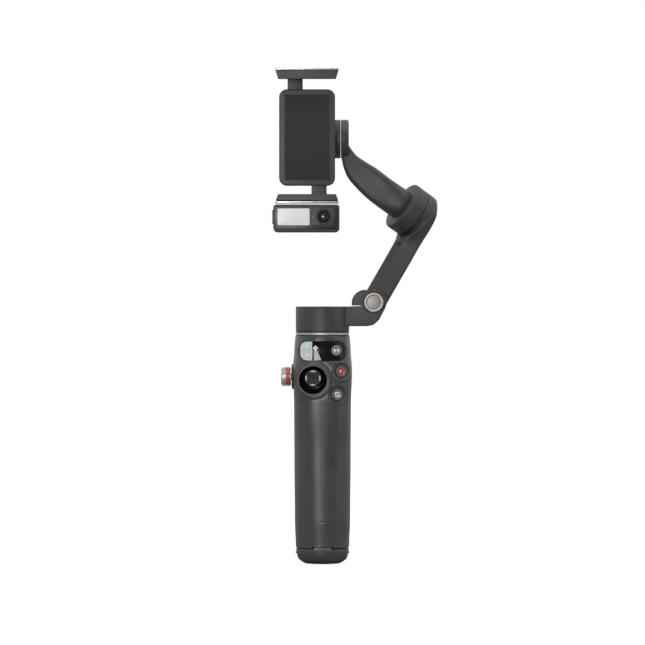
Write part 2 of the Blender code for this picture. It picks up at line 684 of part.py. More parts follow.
def make_link():
    """The bar from the roll motor to the tilt motor's ear."""
    start = ROLL_CUP_LENGTH + 0.0004 + GAP
    root = round_section(start, LINK_ROOT_RADIUS, 24)
    root += round_section(start + 0.0040, LINK_ROOT_RADIUS, 24)
    x, y, z = TILT_CENTRE
    low_x = EAR_INNER_X
    high_x = EAR_INNER_X + EAR_THICKNESS
    outer_x = high_x + 0.0040
    corners = (
        (low_x, z - 0.0040), (low_x, z - 0.0120), (outer_x, z - 0.0040), (outer_x, z - 0.0170),
    )
    shoulder = [Vector((u, y + side, v)) for u, v in corners for side in (-0.0045, 0.0045)]
    across = Vector((ROLL_AXIS.z, 0, -ROLL_AXIS.x)).normalized()
    elbow = []
    for angle in range(0, 360, 20):
        wide = across * LINK_ELBOW[0] * math.cos(math.radians(angle))
        deep = Vector((0, LINK_ELBOW[1] * math.sin(math.radians(angle)), 0))
        elbow.append(LINK_ELBOW_CENTRE + wide + deep)
    bar = hull("link_arm", root + elbow, "arm_paint")
    upper = hull("link_upper", elbow + shoulder)
    ear = cylinder("link_ear", TILT_RADIUS, (low_x, y, z), (high_x, y, z), sides=32, bevel=0.0010)
    join(bar, upper, ear)


def make_tilt_motor():
    x, y, z = TILT_CENTRE
    wall = MOTOR_WALL
    cup_low = 0.0020
    cup_length = EAR_INNER_X - GAP - cup_low
    cup = (
        (0.0, cup_length), (0.0, cup_length - wall), (TILT_RADIUS - wall, cup_length - wall),
        (TILT_RADIUS - wall, 0.0), (TILT_RADIUS, 0.0), (TILT_RADIUS, cup_length),
    )
    turned("tilt_cup", cup, (cup_low, y, z), (1, 0, 0), "arm_paint", ROUND_SIDES)
    stator_end = EAR_INNER_X - 2 * GAP - wall
    ring("tilt_stator", 0.0030, 0.0100, (cup_low + 0.0010, y, z), (stator_end, y, z), "copper", 24)
    rotor = (
        (0.0, 0.0), (TILT_RADIUS - 0.0010, 0.0), (TILT_RADIUS, 0.0010), (TILT_RADIUS, 0.0236),
        (0.0025, 0.0236), (0.0025, 0.0314), (0.0, 0.0314),
    )
    body = turned("tilt_rotor", rotor, (cup_low - 0.0240, y, z), (1, 0, 0), "arm_paint", ROUND_SIDES)
    plate_back = PLATE_FRONT_Y + 0.0016
    neck_low = (-0.0205, plate_back + GAP, z - 0.0085)
    neck = box("tilt_neck", neck_low, (0.0005, y - 0.002, z + 0.0085), bevel=0.0010)
    join(body, neck)
    bar_along_y("mount_plate", 0.0135, (x, z), plate_back, PLATE_FRONT_Y, "steel", 40)


# ---- clamp --------------------------------------------------------------------------------


def jaw_outline(outer_z, inner_z):
    return [
        (CLAMP_X - JAW_OUTER_HALF, outer_z), (CLAMP_X + JAW_OUTER_HALF, outer_z),
        (CLAMP_X + JAW_INNER_HALF, inner_z), (CLAMP_X - JAW_INNER_HALF, inner_z),
    ]


def make_jaw(name, outer_z, seat_z, lip_z, stem_x, stem_end):
    """A jaw: a stem that slides in the clamp, a shelf over the phone's edge, and a front lip."""
    up = 1 if outer_z > seat_z else -1
    shelf = plate(name, jaw_outline(outer_z, seat_z), PHONE_FRONT_Y - 0.0010, -0.0028, finish="arm_paint")
    lip = plate(name + "_lip", jaw_outline(outer_z, lip_z), JAW_FRONT_Y, PHONE_FRONT_Y - 0.0002)
    stem_z = sorted((stem_end, outer_z - up * 0.0005))
    stem = box(name + "_stem", (stem_x[0], -0.0057, stem_z[0]), (stem_x[1], -0.0039, stem_z[1]))
    join(shelf, lip, stem)
    trim_z = sorted((outer_z + up * GAP, outer_z + up * (GAP + TRIM_THICKNESS)))
    side = 0.0001
    trim_name = name.replace("jaw", "trim")
    box(
        trim_name, (CLAMP_X - JAW_OUTER_HALF - side, JAW_FRONT_Y + 0.0002, trim_z[0]),
        (CLAMP_X + JAW_OUTER_HALF + side, -0.0030, trim_z[1]), "bright_metal",
    )
    pad_z = sorted((seat_z - up * GAP, seat_z - up * (GAP + 0.0006)))
    box(
        name.replace("jaw", "pad"), (CLAMP_X - 0.0165, PHONE_FRONT_Y + 0.0003, pad_z[0]),
        (CLAMP_X + 0.0165, PHONE_BACK_Y - 0.0003, pad_z[1]), "rubber",
    )


def make_clamp():
    low = (CLAMP_X - 0.0180, CLAMP_Z - 0.0310)
    high = (CLAMP_X + 0.0180, CLAMP_Z + 0.0310)
    outline = rounded_rectangle(low, high, 0.0050)
    body = plate("clamp_body", outline, CLAMP_FRONT_Y, CLAMP_BACK_Y, finish="arm_paint")
    slot = box("stem_slot", (CLAMP_X - 0.0129, -0.0060, 0.200), (CLAMP_X + 0.0129, -0.0036, 0.340))
    cut(body, slot)
    inset = 0.0035
    pad_low = (low[0] + inset, low[1] + inset)
    pad_high = (high[0] - inset, high[1] - inset)
    pad_outline = rounded_rectangle(pad_low, pad_high, 0.0030)
    plate("back_pad", pad_outline, PHONE_BACK_Y, CLAMP_FRONT_Y - GAP, finish="rubber")
    bar_along_y("clamp_pinion", 0.0025, (CLAMP_X, CLAMP_Z), -0.0056, -0.0040, "brass")
    stem_left = (CLAMP_X - 0.0126, CLAMP_X - 0.0028)
    stem_right = (CLAMP_X + 0.0028, CLAMP_X + 0.0126)
    top_outer = 0.3166
    bottom_outer = 0.2330
    make_jaw("top_jaw", top_outer, PHONE_HIGH_Z + 0.0009, 0.3109, stem_left, 0.2560)
    make_jaw("bottom_jaw", bottom_outer, PHONE_LOW_Z - 0.0009, 0.2374, stem_right, 0.2922)


# ---- light and tracking module ------------------------------------------------------------


def make_module():
    low = MODULE_LOW
    high = MODULE_HIGH
    outline = rounded_rectangle((low.x, low.z), (high.x, high.z), 0.0030)
    shell = plate("module_shell", outline, low.y, high.y, finish="arm_paint")
    panel_low = (-0.0292, 0.2168)
    panel_high = (-0.0078, 0.2285)
    pocket_outline = rounded_rectangle(panel_low, panel_high, 0.0010, 2)
    pocket = plate("diffuser_pocket", pocket_outline, low.y - 0.001, low.y + 0.0022)
    inner_low = (panel_low[0] + GAP, panel_low[1] + GAP)
    inner_high = (panel_high[0] - GAP, panel_high[1] - GAP)
    panel_outline = rounded_rectangle(inner_low, inner_high, 0.0009, 2)
    plate("diffuser", panel_outline, low.y + 0.0002, low.y + 0.0019, finish="diffuser")
    lens = (LENS_X, LENS_Z)
    lens_hole = bar_along_y("lens_hole", 0.0052, lens, low.y - 0.001, low.y + 0.0062, sides=32)
    hole_low = (low.x - 0.001, -0.0155, 0.2180)
    button_hole = box("module_button_hole", hole_low, (low.x + 0.0025, -0.0105, 0.2275))
    cut(shell, pocket, lens_hole, button_hole)
    barrel = (
        (0.0, 0.0010), (0.0030, 0.0006), (0.0040, 0.0010), (0.0044, 0.0), (0.0049, 0.0),
        (0.0049, 0.0058), (0.0, 0.0058),
    )
    front = (LENS_X, low.y + 0.0001, LENS_Z)
    turned("lens_barrel", barrel, front, (0, 1, 0), "black_plastic", 32)
    button_low = (low.x - 0.0007, -0.0152, 0.2183)
    box("module_button", button_low, (low.x + 0.0015, -0.0108, 0.2272), "black_plastic", 0.0004)


# ---- joints -------------------------------------------------------------------------------

# each moving group: its parent group, a point on its joint's axis, and its pieces
GROUPS = {
    "mode_press": (None, (MODE[0], -0.0180, MODE[1]), ("mode_button",)),
    "record_press": (None, (RECORD[0], -0.0180, RECORD[1]), ("record_button",)),
    "switch_press": (None, (SWITCH[0], -0.0180, SWITCH[1]), ("switch_button",)),
    "stick_pitch": (None, tuple(STICK_PIVOT), ("joystick_yoke",)),
    "stick_yaw": ("stick_pitch", tuple(STICK_PIVOT), ("joystick_cap",)),
    "wheel_spin": (None, (-0.0200, 0.0, WHEEL_Z), ("zoom_wheel", "wheel_red_ring")),
    "trigger_pull": (None, tuple(TRIGGER_PIVOT), ("trigger",)),
    "rod_1": (None, (0, 0, ROD_BOTTOM), ("rod_tube_1",)),
    "rod_2": ("rod_1", (0, 0, ROD_BOTTOM), ("rod_tube_2",)),
    "rod_3": ("rod_2", (0, 0, ROD_BOTTOM), ("rod_tube_3",)),
    "rod_4": (
        "rod_3", (0, 0, ROD_BOTTOM),
        ("rod_tube_4", "head_base", "silver_ring", "pan_stator", "pan_bearing"),
    ),
    "pan": (
        "rod_4", (0, 0, PAN_BOTTOM), ("lower_arm", "pan_shaft", "pan_magnets", "hinge_pin", "fold_knob"),
    ),
    "fold": ("pan", tuple(HINGE), ("upper_arm", "roll_stator", "roll_bearing")),
    "roll": (
        "fold", tuple(ROLL_CENTRE), ("roll_cup", "roll_shaft", "link_arm", "tilt_cup", "tilt_stator"),
    ),
    "tilt": ("roll", tuple(TILT_CENTRE), ("tilt_rotor", "mount_plate")),
    "clamp_pull": ("tilt", (CLAMP_X, CLAMP_BACK_Y, CLAMP_Z), ("clamp_body", "back_pad")),
    "pinion_spin": ("clamp_pull", (CLAMP_X, -0.0048, CLAMP_Z), ("clamp_pinion",)),
    "top_jaw_slide": ("clamp_pull", (CLAMP_X, -0.0048, 0.3000), ("top_jaw", "top_pad", "top_trim")),
    "bottom_jaw_slide": (
        "clamp_pull", (CLAMP_X, -0.0048, 0.2500), ("bottom_jaw", "bottom_pad", "bottom_trim"),
    ),
    "module_pull": (
        "bottom_jaw_slide", (CLAMP_X, -0.0130, MODULE_HIGH.z), ("module_shell", "diffuser", "lens_barrel"),
    ),
    "module_press": ("module_pull", (MODULE_LOW.x, -0.0130, 0.2228), ("module_button",)),
    "tripod_slide": (None, (0, 0, LEG_PIVOT_Z), ("tripod_carriage",)),
}


def leg_pivot(angle):
    turn = Matrix.Rotation(math.radians(angle), 4, "Z")
    return tuple(turn @ Vector((LEG_PIVOT_RADIUS, 0, LEG_PIVOT_Z)))


def add_groups():
    """An empty on each joint's axis, with the pieces that move with it as its children."""
    groups = dict(GROUPS)
    for name, angle in LEG_ANGLES.items():
        groups[name + "_spread"] = ("tripod_slide", leg_pivot(angle), (name,))
    empties = {}
    places = {}
    for name, (parent, place, pieces) in groups.items():
        empty = bpy.data.objects.new(name, None)
        empty.empty_display_size = 0.01
        PARTS.objects.link(empty)
        places[name] = Vector(place)
        if parent:
            empty.parent = empties[parent]
            empty.location = places[name] - places[parent]
        else:
            empty.location = places[name]
        empties[name] = empty
        for piece in pieces:
            obj = bpy.data.objects[piece]
            obj.parent = empty
            obj.location = obj.location - places[name]


make_shells()
make_display()
make_front_button("mode_button", MODE, 0.0034, -0.0190, "black_plastic")
make_front_button("record_button", RECORD, 0.0037, -0.0196, "soft_grip")
make_front_button("switch_button", SWITCH, 0.0039, -0.0194, "soft_grip")
make_joystick()
make_zoom_wheel()
make_trigger()
make_inside()
make_rod()
make_tripod()
make_head()
make_lower_arm()
make_upper_arm()
make_roll_motor()
make_link()
make_tilt_motor()
make_clamp()
make_module()
add_groups()
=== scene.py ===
import json
import math

import bmesh
import bpy
from mathutils import Matrix, Vector


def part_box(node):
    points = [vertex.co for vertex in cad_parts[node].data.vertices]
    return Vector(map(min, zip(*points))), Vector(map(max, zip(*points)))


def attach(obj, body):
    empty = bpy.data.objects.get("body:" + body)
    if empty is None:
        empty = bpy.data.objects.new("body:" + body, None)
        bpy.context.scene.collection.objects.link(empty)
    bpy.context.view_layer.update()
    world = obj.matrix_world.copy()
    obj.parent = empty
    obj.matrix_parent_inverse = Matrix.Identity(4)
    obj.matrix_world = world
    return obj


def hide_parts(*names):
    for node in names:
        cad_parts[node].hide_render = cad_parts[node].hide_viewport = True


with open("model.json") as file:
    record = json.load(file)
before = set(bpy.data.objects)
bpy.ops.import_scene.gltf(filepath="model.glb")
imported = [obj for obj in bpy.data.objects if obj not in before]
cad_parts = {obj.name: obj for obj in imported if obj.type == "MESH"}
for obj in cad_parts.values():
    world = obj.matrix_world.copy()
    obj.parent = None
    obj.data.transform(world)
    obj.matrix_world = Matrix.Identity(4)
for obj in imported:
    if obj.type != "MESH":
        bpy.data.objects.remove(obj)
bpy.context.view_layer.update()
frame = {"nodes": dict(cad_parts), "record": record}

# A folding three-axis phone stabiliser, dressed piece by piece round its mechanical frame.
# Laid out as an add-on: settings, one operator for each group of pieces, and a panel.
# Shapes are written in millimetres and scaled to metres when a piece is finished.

bl_info = {
    "name": "Camera Gimbal Parts",
    "version": (1, 0, 0),
    "blender": (4, 5, 0),
    "location": "View3D > Sidebar > Gimbal",
    "description": "Builds the finished pieces of a hand-held phone stabiliser",
    "category": "Object",
}

JOINTS = {joint["name"]: joint for joint in frame["record"]["behaviour"]["joints"]}
MM = 0.001


# ---- places taken from the frame ----------------------------------------------------------


def node_box(node):
    """Lowest and highest corners of a frame node, in millimetres."""
    low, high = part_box(node)
    return Vector(low) * 1000, Vector(high) * 1000


def node_middle(node):
    low, high = node_box(node)
    return (low + high) / 2


def joint_point(name):
    """A point on a joint's axis, in millimetres."""
    return Vector(JOINTS[name]["pos_m"]) * 1000


ROLL_SEAM = joint_point("roll")
ROLL_AXIS = Vector(JOINTS["roll"]["axis"]).normalized()
HINGE = joint_point("arm_fold")
TILT = joint_point("tilt")
STICK = joint_point("stick_pitch")
X_AXIS = Vector((1, 0, 0))
Y_AXIS = Vector((0, 1, 0))
Z_AXIS = Vector((0, 0, 1))


# ---- outlines -----------------------------------------------------------------------------


def arc(centre, radius, first, last, steps):
    """Points on an arc by angles in degrees, both ends included."""
    turns = [math.radians(first + (last - first) * i / steps) for i in range(steps + 1)]
    return [(centre[0] + radius * math.cos(t), centre[1] + radius * math.sin(t)) for t in turns]


def circle(centre, radius, steps):
    return arc(centre, radius, 0, 360, steps)[:-1]


def filleted(points, closed=True, steps=4):
    """An outline with each corner (u, v, radius) rounded."""
    result = []
    count = len(points)
    for i, (u, v, radius) in enumerate(points):
        if radius <= 0 or (not closed and i in (0, count - 1)):
            result.append((u, v))
            continue
        corner = Vector((u, v))
        before = Vector(points[i - 1][:2]) - corner
        after = Vector(points[(i + 1) % count][:2]) - corner
        half = before.angle(after) / 2
        reach = min(radius / math.tan(half), before.length * 0.49, after.length * 0.49)
        start = corner + before.normalized() * reach
        end = corner + after.normalized() * reach
        for k in range(steps + 1):
            share = k / steps
            curve = start * (1 - share) ** 2 + corner * 2 * share * (1 - share) + end * share**2
            result.append((curve.x, curve.y))
    return result


def rounded_rectangle(low, high, radius, steps=6):
    corners = (
        ((high[0] - radius, low[1] + radius), -90),
        ((high[0] - radius, high[1] - radius), 0),
        ((low[0] + radius, high[1] - radius), 90),
        ((low[0] + radius, low[1] + radius), 180),
    )
    outline = []
    for centre, angle in corners:
        outline += arc(centre, radius, angle, angle + 90, steps)
    return outline


def divided(outline, longest):
    """The same outline with its long edges split, so that it can follow a curved surface."""
    result = []
    for i, start in enumerate(outline):
        start = Vector(start)
        span = Vector(outline[(i + 1) % len(outline)]) - start
        pieces = max(1, math.ceil(span.length / longest))
        result += [tuple(start + span * k / pieces) for k in range(pieces)]
    return result


def smooth_step(value, low, high):
    share = min(max((value - low) / (high - low), 0.0), 1.0)
    return share * share * (3 - 2 * share)


def through(points, per_span):
    """A smooth curve through points, several values each (Catmull-Rom)."""
    result = []
    last = len(points) - 1
    for i in range(last):
        p0, p1, p2, p3 = (points[min(max(i + k, 0), last)] for k in (-1, 0, 1, 2))
        for k in range(per_span):
            t = k / per_span
            result.append([
                0.5 * (2 * b + (c - a) * t + (2 * a - 5 * b + 4 * c - d) * t * t
                       + (3 * b - a - 3 * c + d) * t**3)
                for a, b, c, d in zip(p0, p1, p2, p3)
            ])
    result.append(list(points[-1]))
    return result


# ---- meshes in millimetres ----------------------------------------------------------------


def plane_matrix(normal):
    """Places an outline drawn in (u, v) on the plane whose normal is X, Y or Z."""
    if normal == "Y":
        return Matrix(((1, 0, 0, 0), (0, 0, 1, 0), (0, 1, 0, 0), (0, 0, 0, 1)))
    if normal == "X":
        return Matrix(((0, 0, 1, 0), (1, 0, 0, 0), (0, 1, 0, 0), (0, 0, 0, 1)))
    return Matrix.Identity(4)


def axis_matrix(centre, axis):
    turn = Vector(axis).to_track_quat("Z", "Y").to_matrix().to_4x4()
    return Matrix.Translation(Vector(centre)) @ turn


def outward(bm):
    """Turns the faces of a closed body outwards."""
    bm.normal_update()
    bmesh.ops.recalc_face_normals(bm, faces=bm.faces)
    if bm.calc_volume(signed=True) < 0:
        bmesh.ops.reverse_faces(bm, faces=bm.faces)
    return bm


def skin(bm, rings, closed_rings=True, closed_ends=False):
    """Quads between rings of vertices; a ring of one vertex is a pole."""
    pairs = list(zip(rings, rings[1:]))
    if closed_ends:
        pairs.append((rings[-1], rings[0]))
    for lower, upper in pairs:
        count = max(len(lower), len(upper))
        for i in range(count if closed_rings else count - 1):
            j = (i + 1) % count
            corners = [
                lower[i % len(lower)], lower[j % len(lower)],
                upper[j % len(upper)], upper[i % len(upper)],
            ]
            unique = list(dict.fromkeys(corners))
            if len(unique) > 2:
                bm.faces.new(unique)


def lathe(profile, centre=(0, 0, 0), axis=Z_AXIS, steps=96):
    """A body of revolution from (radius, height) points, closed at the axis or as a loop."""
    bm = bmesh.new()
    rings = []
    for radius, height in profile:
        if radius < 1e-6:
            rings.append([bm.verts.new((0, 0, height))])
            continue
        turns = [math.tau * i / steps for i in range(steps)]
        rings.append([bm.verts.new((radius * math.cos(t), radius * math.sin(t), height)) for t in turns])
    skin(bm, rings, closed_ends=profile[0][0] > 1e-6)
    bm.transform(axis_matrix(centre, axis))
    return outward(bm)


def slab(outline, low, high, normal="Y", edge=0.4, segments=3):
    """A flat outline given thickness, with the edges of both faces rounded."""
    bm = bmesh.new()
    bm.faces.new([bm.verts.new((u, v, low)) for u, v in outline])
    bmesh.ops.remove_doubles(bm, verts=bm.verts, dist=1e-4)
    made = bmesh.ops.extrude_face_region(bm, geom=bm.faces[:])
    moved = [item for item in made["geom"] if isinstance(item, bmesh.types.BMVert)]
    bmesh.ops.translate(bm, verts=moved, vec=(0, 0, high - low))
    if edge > 0:
        rims = [e for e in bm.edges if abs(e.verts[0].co.z - e.verts[1].co.z) < 1e-6]
        bmesh.ops.bevel(
            bm, geom=rims, offset=edge, segments=segments, affect="EDGES", profile=0.5,
            clamp_overlap=True,
        )
    bm.transform(plane_matrix(normal))
    return outward(bm)


def bar(low, high, edge=0.4, segments=3):
    """A box between two corners with rounded edges."""
    low = Vector(low)
    high = Vector(high)
    bm = bmesh.new()
    bmesh.ops.create_cube(bm, size=1.0)
    bm.transform(Matrix.LocRotScale((low + high) / 2, None, high - low))
    if edge > 0:
        bmesh.ops.bevel(
            bm, geom=bm.edges[:], offset=edge, segments=segments, affect="EDGES", profile=0.5
        )
    return outward(bm)


def loft(sections):
    """A closed body through sections of equal point counts, with flat ends."""
    bm = bmesh.new()
    rings = [[bm.verts.new(point) for point in section] for section in sections]
    skin(bm, rings)
    bm.faces.new(rings[0][::-1])
    bm.faces.new(rings[-1])
    return outward(bm)


def temporary(bm):
    mesh = bpy.data.meshes.new("temporary")
    bm.to_mesh(mesh)
    bm.free()
    obj = bpy.data.objects.new("temporary", mesh)
    bpy.context.scene.collection.objects.link(obj)
    return obj


def plain_mesh(obj):
    """The evaluated mesh of an object, as a bmesh; the object is removed."""
    bpy.context.view_layer.update()
    graph = bpy.context.evaluated_depsgraph_get()
    mesh = bpy.data.meshes.new_from_object(obj.evaluated_get(graph))
    bm = bmesh.new()
    bm.from_mesh(mesh)
    bpy.data.meshes.remove(mesh)
    source = obj.data
    bpy.data.objects.remove(obj)
    bpy.data.meshes.remove(source)
    return bm


def combined(first, others, operation):
    """Joins, cuts or intersects closed bodies."""
    base = temporary(first)
    helpers = [temporary(other) for other in others]
    for helper in helpers:
        modifier = base.modifiers.new(operation.title(), "BOOLEAN")
        modifier.operation = operation
        modifier.solver = "EXACT"
        modifier.object = helper
    result = plain_mesh(base)
    for helper in helpers:
        mesh = helper.data
        bpy.data.objects.remove(helper)
        bpy.data.meshes.remove(mesh)
    bmesh.ops.remove_doubles(result, verts=result.verts, dist=0.002)
    bmesh.ops.dissolve_degenerate(result, edges=result.edges, dist=0.002)
    return result


def union(first, *others):
    return combined(first, others, "UNION")


def cut(first, *others):
    return combined(first, others, "DIFFERENCE")


def merged(*bodies):
    """Several separate bodies kept side by side in one mesh."""
    result = bmesh.new()
    for body in bodies:
        mesh = bpy.data.meshes.new("merge")
        body.to_mesh(mesh)
        body.free()
        result.from_mesh(mesh)
        bpy.data.meshes.remove(mesh)
    return result


def piece(name, bm, body, material, replaces=(), sharp=32):
    """A finished piece at the origin, in metres, that rides on a frame body."""
    outward(bm)
    bm.transform(Matrix.Scale(MM, 4))
    mesh = bpy.data.meshes.new(name)
    bm.to_mesh(mesh)
    bm.free()
    mesh.shade_smooth()
    mesh.set_sharp_from_angle(angle=math.radians(sharp))
    mesh.materials.clear()
    mesh.materials.append(material)
    obj = bpy.data.objects.new(name, mesh)
    bpy.context.scene.collection.objects.link(obj)
    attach(obj, body)
    if replaces:
        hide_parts(*replaces)
    return obj


# ---- repeats, by geometry nodes -----------------------------------------------------------


def repeat_tree(name, round_axis):
    """A node tree that copies its input shape round the Z axis, or along a line."""
    tree = bpy.data.node_groups.new(name, "GeometryNodeTree")
    face = tree.interface
    face.new_socket("Geometry", in_out="INPUT", socket_type="NodeSocketGeometry")
    face.new_socket("Count", in_out="INPUT", socket_type="NodeSocketInt")
    if round_axis:
        face.new_socket("Radius", in_out="INPUT", socket_type="NodeSocketFloat")
    else:
        face.new_socket("Step", in_out="INPUT", socket_type="NodeSocketVector")
    face.new_socket("Material", in_out="INPUT", socket_type="NodeSocketMaterial")
    face.new_socket("Geometry", in_out="OUTPUT", socket_type="NodeSocketGeometry")
    nodes = tree.nodes
    links = tree.links
    entry = nodes.new("NodeGroupInput")
    leave = nodes.new("NodeGroupOutput")
    copies = nodes.new("GeometryNodeInstanceOnPoints")
    realize = nodes.new("GeometryNodeRealizeInstances")
    paint = nodes.new("GeometryNodeSetMaterial")
    if round_axis:
        spots = nodes.new("GeometryNodeMeshCircle")
        links.new(entry.outputs["Count"], spots.inputs["Vertices"])
        links.new(entry.outputs["Radius"], spots.inputs["Radius"])
        index = nodes.new("GeometryNodeInputIndex")
        share = nodes.new("ShaderNodeMath")
        share.operation = "DIVIDE"
        angle = nodes.new("ShaderNodeMath")
        angle.operation = "MULTIPLY"
        angle.inputs[1].default_value = math.tau
        turn = nodes.new("ShaderNodeCombineXYZ")
        links.new(index.outputs[0], share.inputs[0])
        links.new(entry.outputs["Count"], share.inputs[1])
        links.new(share.outputs[0], angle.inputs[0])
        links.new(angle.outputs[0], turn.inputs["Z"])
        links.new(turn.outputs[0], copies.inputs["Rotation"])
    else:
        spots = nodes.new("GeometryNodeMeshLine")
        spots.mode = "OFFSET"
        links.new(entry.outputs["Count"], spots.inputs["Count"])
        links.new(entry.outputs["Step"], spots.inputs["Offset"])
    links.new(spots.outputs["Mesh"], copies.inputs["Points"])
    links.new(entry.outputs["Geometry"], copies.inputs["Instance"])
    links.new(copies.outputs["Instances"], realize.inputs["Geometry"])
    links.new(realize.outputs["Geometry"], paint.inputs["Geometry"])
    links.new(entry.outputs["Material"], paint.inputs["Material"])
    links.new(paint.outputs["Geometry"], leave.inputs["Geometry"])
    return tree


def repeated(bm, tree, material, **values):
    """The shape repeated by a node tree, as a bmesh."""
    obj = temporary(bm)
    modifier = obj.modifiers.new("Repeat", "NODES")
    modifier.node_group = tree
    sockets = {
        item.name: item.identifier
        for item in tree.interface.items_tree if item.in_out == "INPUT"
    }
    modifier[sockets["Material"]] = material
    for name, value in values.items():
        modifier[sockets[name]] = value
    return plain_mesh(obj)


ROUND_REPEAT = repeat_tree("Repeat Round Axis", True)
LINE_REPEAT = repeat_tree("Repeat Along Line", False)


# ---- shared effects -----------------------------------------------------------------------

COLOR = "NodeSocketColor"
FLOAT = "NodeSocketFloat"
VECTOR = "NodeSocketVector"


def effect(name, inputs, outputs):
    """An empty shader group with named sockets."""
    tree = bpy.data.node_groups.new(name, "ShaderNodeTree")
    for label, kind, value in inputs:
        tree.interface.new_socket(label, in_out="INPUT", socket_type=kind).default_value = value
    for label, kind in outputs:
        tree.interface.new_socket(label, in_out="OUTPUT", socket_type=kind)
    return tree, tree.nodes.new("NodeGroupInput"), tree.nodes.new("NodeGroupOutput")


def noise(tree, vector, scale_from, detail=2.0):
    node = tree.nodes.new("ShaderNodeTexNoise")
    node.inputs["Detail"].default_value = detail
    tree.links.new(vector, node.inputs["Vector"])
    tree.links.new(scale_from, node.inputs["Scale"])
    return node.outputs["Fac"]


def spread(tree, value, middle_from, width_from):
    """A value from 0 to 1 turned into middle plus or minus width."""
    centred = tree.nodes.new("ShaderNodeMath")
    centred.operation = "SUBTRACT"
    centred.inputs[1].default_value = 0.5
    wide = tree.nodes.new("ShaderNodeMath")
    wide.operation = "MULTIPLY_ADD"
    tree.links.new(value, centred.inputs[0])
    tree.links.new(centred.outputs[0], wide.inputs[0])
    tree.links.new(width_from, wide.inputs[1])
    tree.links.new(middle_from, wide.inputs[2])
    return wide.outputs[0]


def tint(tree, value, first, second, low=0.35, high=0.65):
    """A colour between two, by a value."""
    band = tree.nodes.new("ShaderNodeMapRange")
    band.inputs["From Min"].default_value = low
    band.inputs["From Max"].default_value = high
    mix = tree.nodes.new("ShaderNodeMix")
    mix.data_type = "RGBA"
    tree.links.new(value, band.inputs["Value"])
    tree.links.new(band.outputs["Result"], mix.inputs[0])
    tree.links.new(first, mix.inputs[6])
    tree.links.new(second, mix.inputs[7])
    return mix.outputs[2]


def moulded_grain():
    """Fine texture of a moulded or sprayed surface, with a slow mottle of tone and gloss."""
    tree, entry, leave = effect(
        "Moulded Grain",
        (
            ("Vector", VECTOR, (0, 0, 0)), ("Base Color", COLOR, (0.05, 0.05, 0.05, 1)),
            ("Worn Color", COLOR, (0.06, 0.06, 0.06, 1)), ("Grain Scale", FLOAT, 3500.0),
            ("Mottle Scale", FLOAT, 60.0), ("Roughness", FLOAT, 0.5), ("Roughness Spread", FLOAT, 0.2),
        ),
        (("Color", COLOR), ("Roughness", FLOAT), ("Height", FLOAT)),
    )
    mottle = noise(tree, entry.outputs["Vector"], entry.outputs["Mottle Scale"], 4.0)
    grain = noise(tree, entry.outputs["Vector"], entry.outputs["Grain Scale"], 2.0)
    tone = tint(tree, mottle, entry.outputs["Base Color"], entry.outputs["Worn Color"])
    gloss = spread(tree, mottle, entry.outputs["Roughness"], entry.outputs["Roughness Spread"])
    tree.links.new(tone, leave.inputs["Color"])
    tree.links.new(gloss, leave.inputs["Roughness"])
    tree.links.new(grain, leave.inputs["Height"])
    return tree


def brushed_lines():
    """Long fine scratches along one direction: the vector comes in already stretched."""
    tree, entry, leave = effect(
        "Brushed Lines",
        (
            ("Vector", VECTOR, (0, 0, 0)), ("Base Color", COLOR, (0.5, 0.5, 0.5, 1)),
            ("Light Color", COLOR, (0.6, 0.6, 0.6, 1)), ("Stretch", VECTOR, (1, 1, 1)),
            ("Line Scale", FLOAT, 200.0), ("Roughness", FLOAT, 0.3), ("Roughness Spread", FLOAT, 0.3),
        ),
        (("Color", COLOR), ("Roughness", FLOAT), ("Height", FLOAT)),
    )
    pulled = tree.nodes.new("ShaderNodeVectorMath")
    pulled.operation = "MULTIPLY"
    tree.links.new(entry.outputs["Vector"], pulled.inputs[0])
    tree.links.new(entry.outputs["Stretch"], pulled.inputs[1])
    lines = noise(tree, pulled.outputs[0], entry.outputs["Line Scale"], 3.0)
    tone = tint(tree, lines, entry.outputs["Base Color"], entry.outputs["Light Color"])
    gloss = spread(tree, lines, entry.outputs["Roughness"], entry.outputs["Roughness Spread"])
    tree.links.new(tone, leave.inputs["Color"])
    tree.links.new(gloss, leave.inputs["Roughness"])
    tree.links.new(lines, leave.inputs["Height"])
    return tree


def turned_rings():
    """Fine concentric tool marks round the vector's Z axis."""
    tree, entry, leave = effect(
        "Turned Rings",
        (
            ("Vector", VECTOR, (0, 0, 0)), ("Base Color", COLOR, (0.5, 0.5, 0.5, 1)),
            ("Light Color", COLOR, (0.6, 0.6, 0.6, 1)), ("Ring Scale", FLOAT, 3000.0),
            ("Roughness", FLOAT, 0.3), ("Roughness Spread", FLOAT, 0.3),
        ),
        (("Color", COLOR), ("Roughness", FLOAT), ("Height", FLOAT)),
    )
    flat = tree.nodes.new("ShaderNodeVectorMath")
    flat.operation = "MULTIPLY"
    flat.inputs[1].default_value = (1, 1, 0)
    length = tree.nodes.new("ShaderNodeVectorMath")
    length.operation = "LENGTH"
    rings = tree.nodes.new("ShaderNodeTexNoise")
    rings.noise_dimensions = "1D"
    rings.inputs["Detail"].default_value = 2.0
    tree.links.new(entry.outputs["Vector"], flat.inputs[0])
    tree.links.new(flat.outputs[0], length.inputs[0])
    tree.links.new(length.outputs["Value"], rings.inputs["W"])
    tree.links.new(entry.outputs["Ring Scale"], rings.inputs["Scale"])
    tone = tint(tree, rings.outputs["Fac"], entry.outputs["Base Color"], entry.outputs["Light Color"])
    gloss = spread(
        tree, rings.outputs["Fac"], entry.outputs["Roughness"], entry.outputs["Roughness Spread"]
    )
    tree.links.new(tone, leave.inputs["Color"])
    tree.links.new(gloss, leave.inputs["Roughness"])
    tree.links.new(rings.outputs["Fac"], leave.inputs["Height"])
    return tree


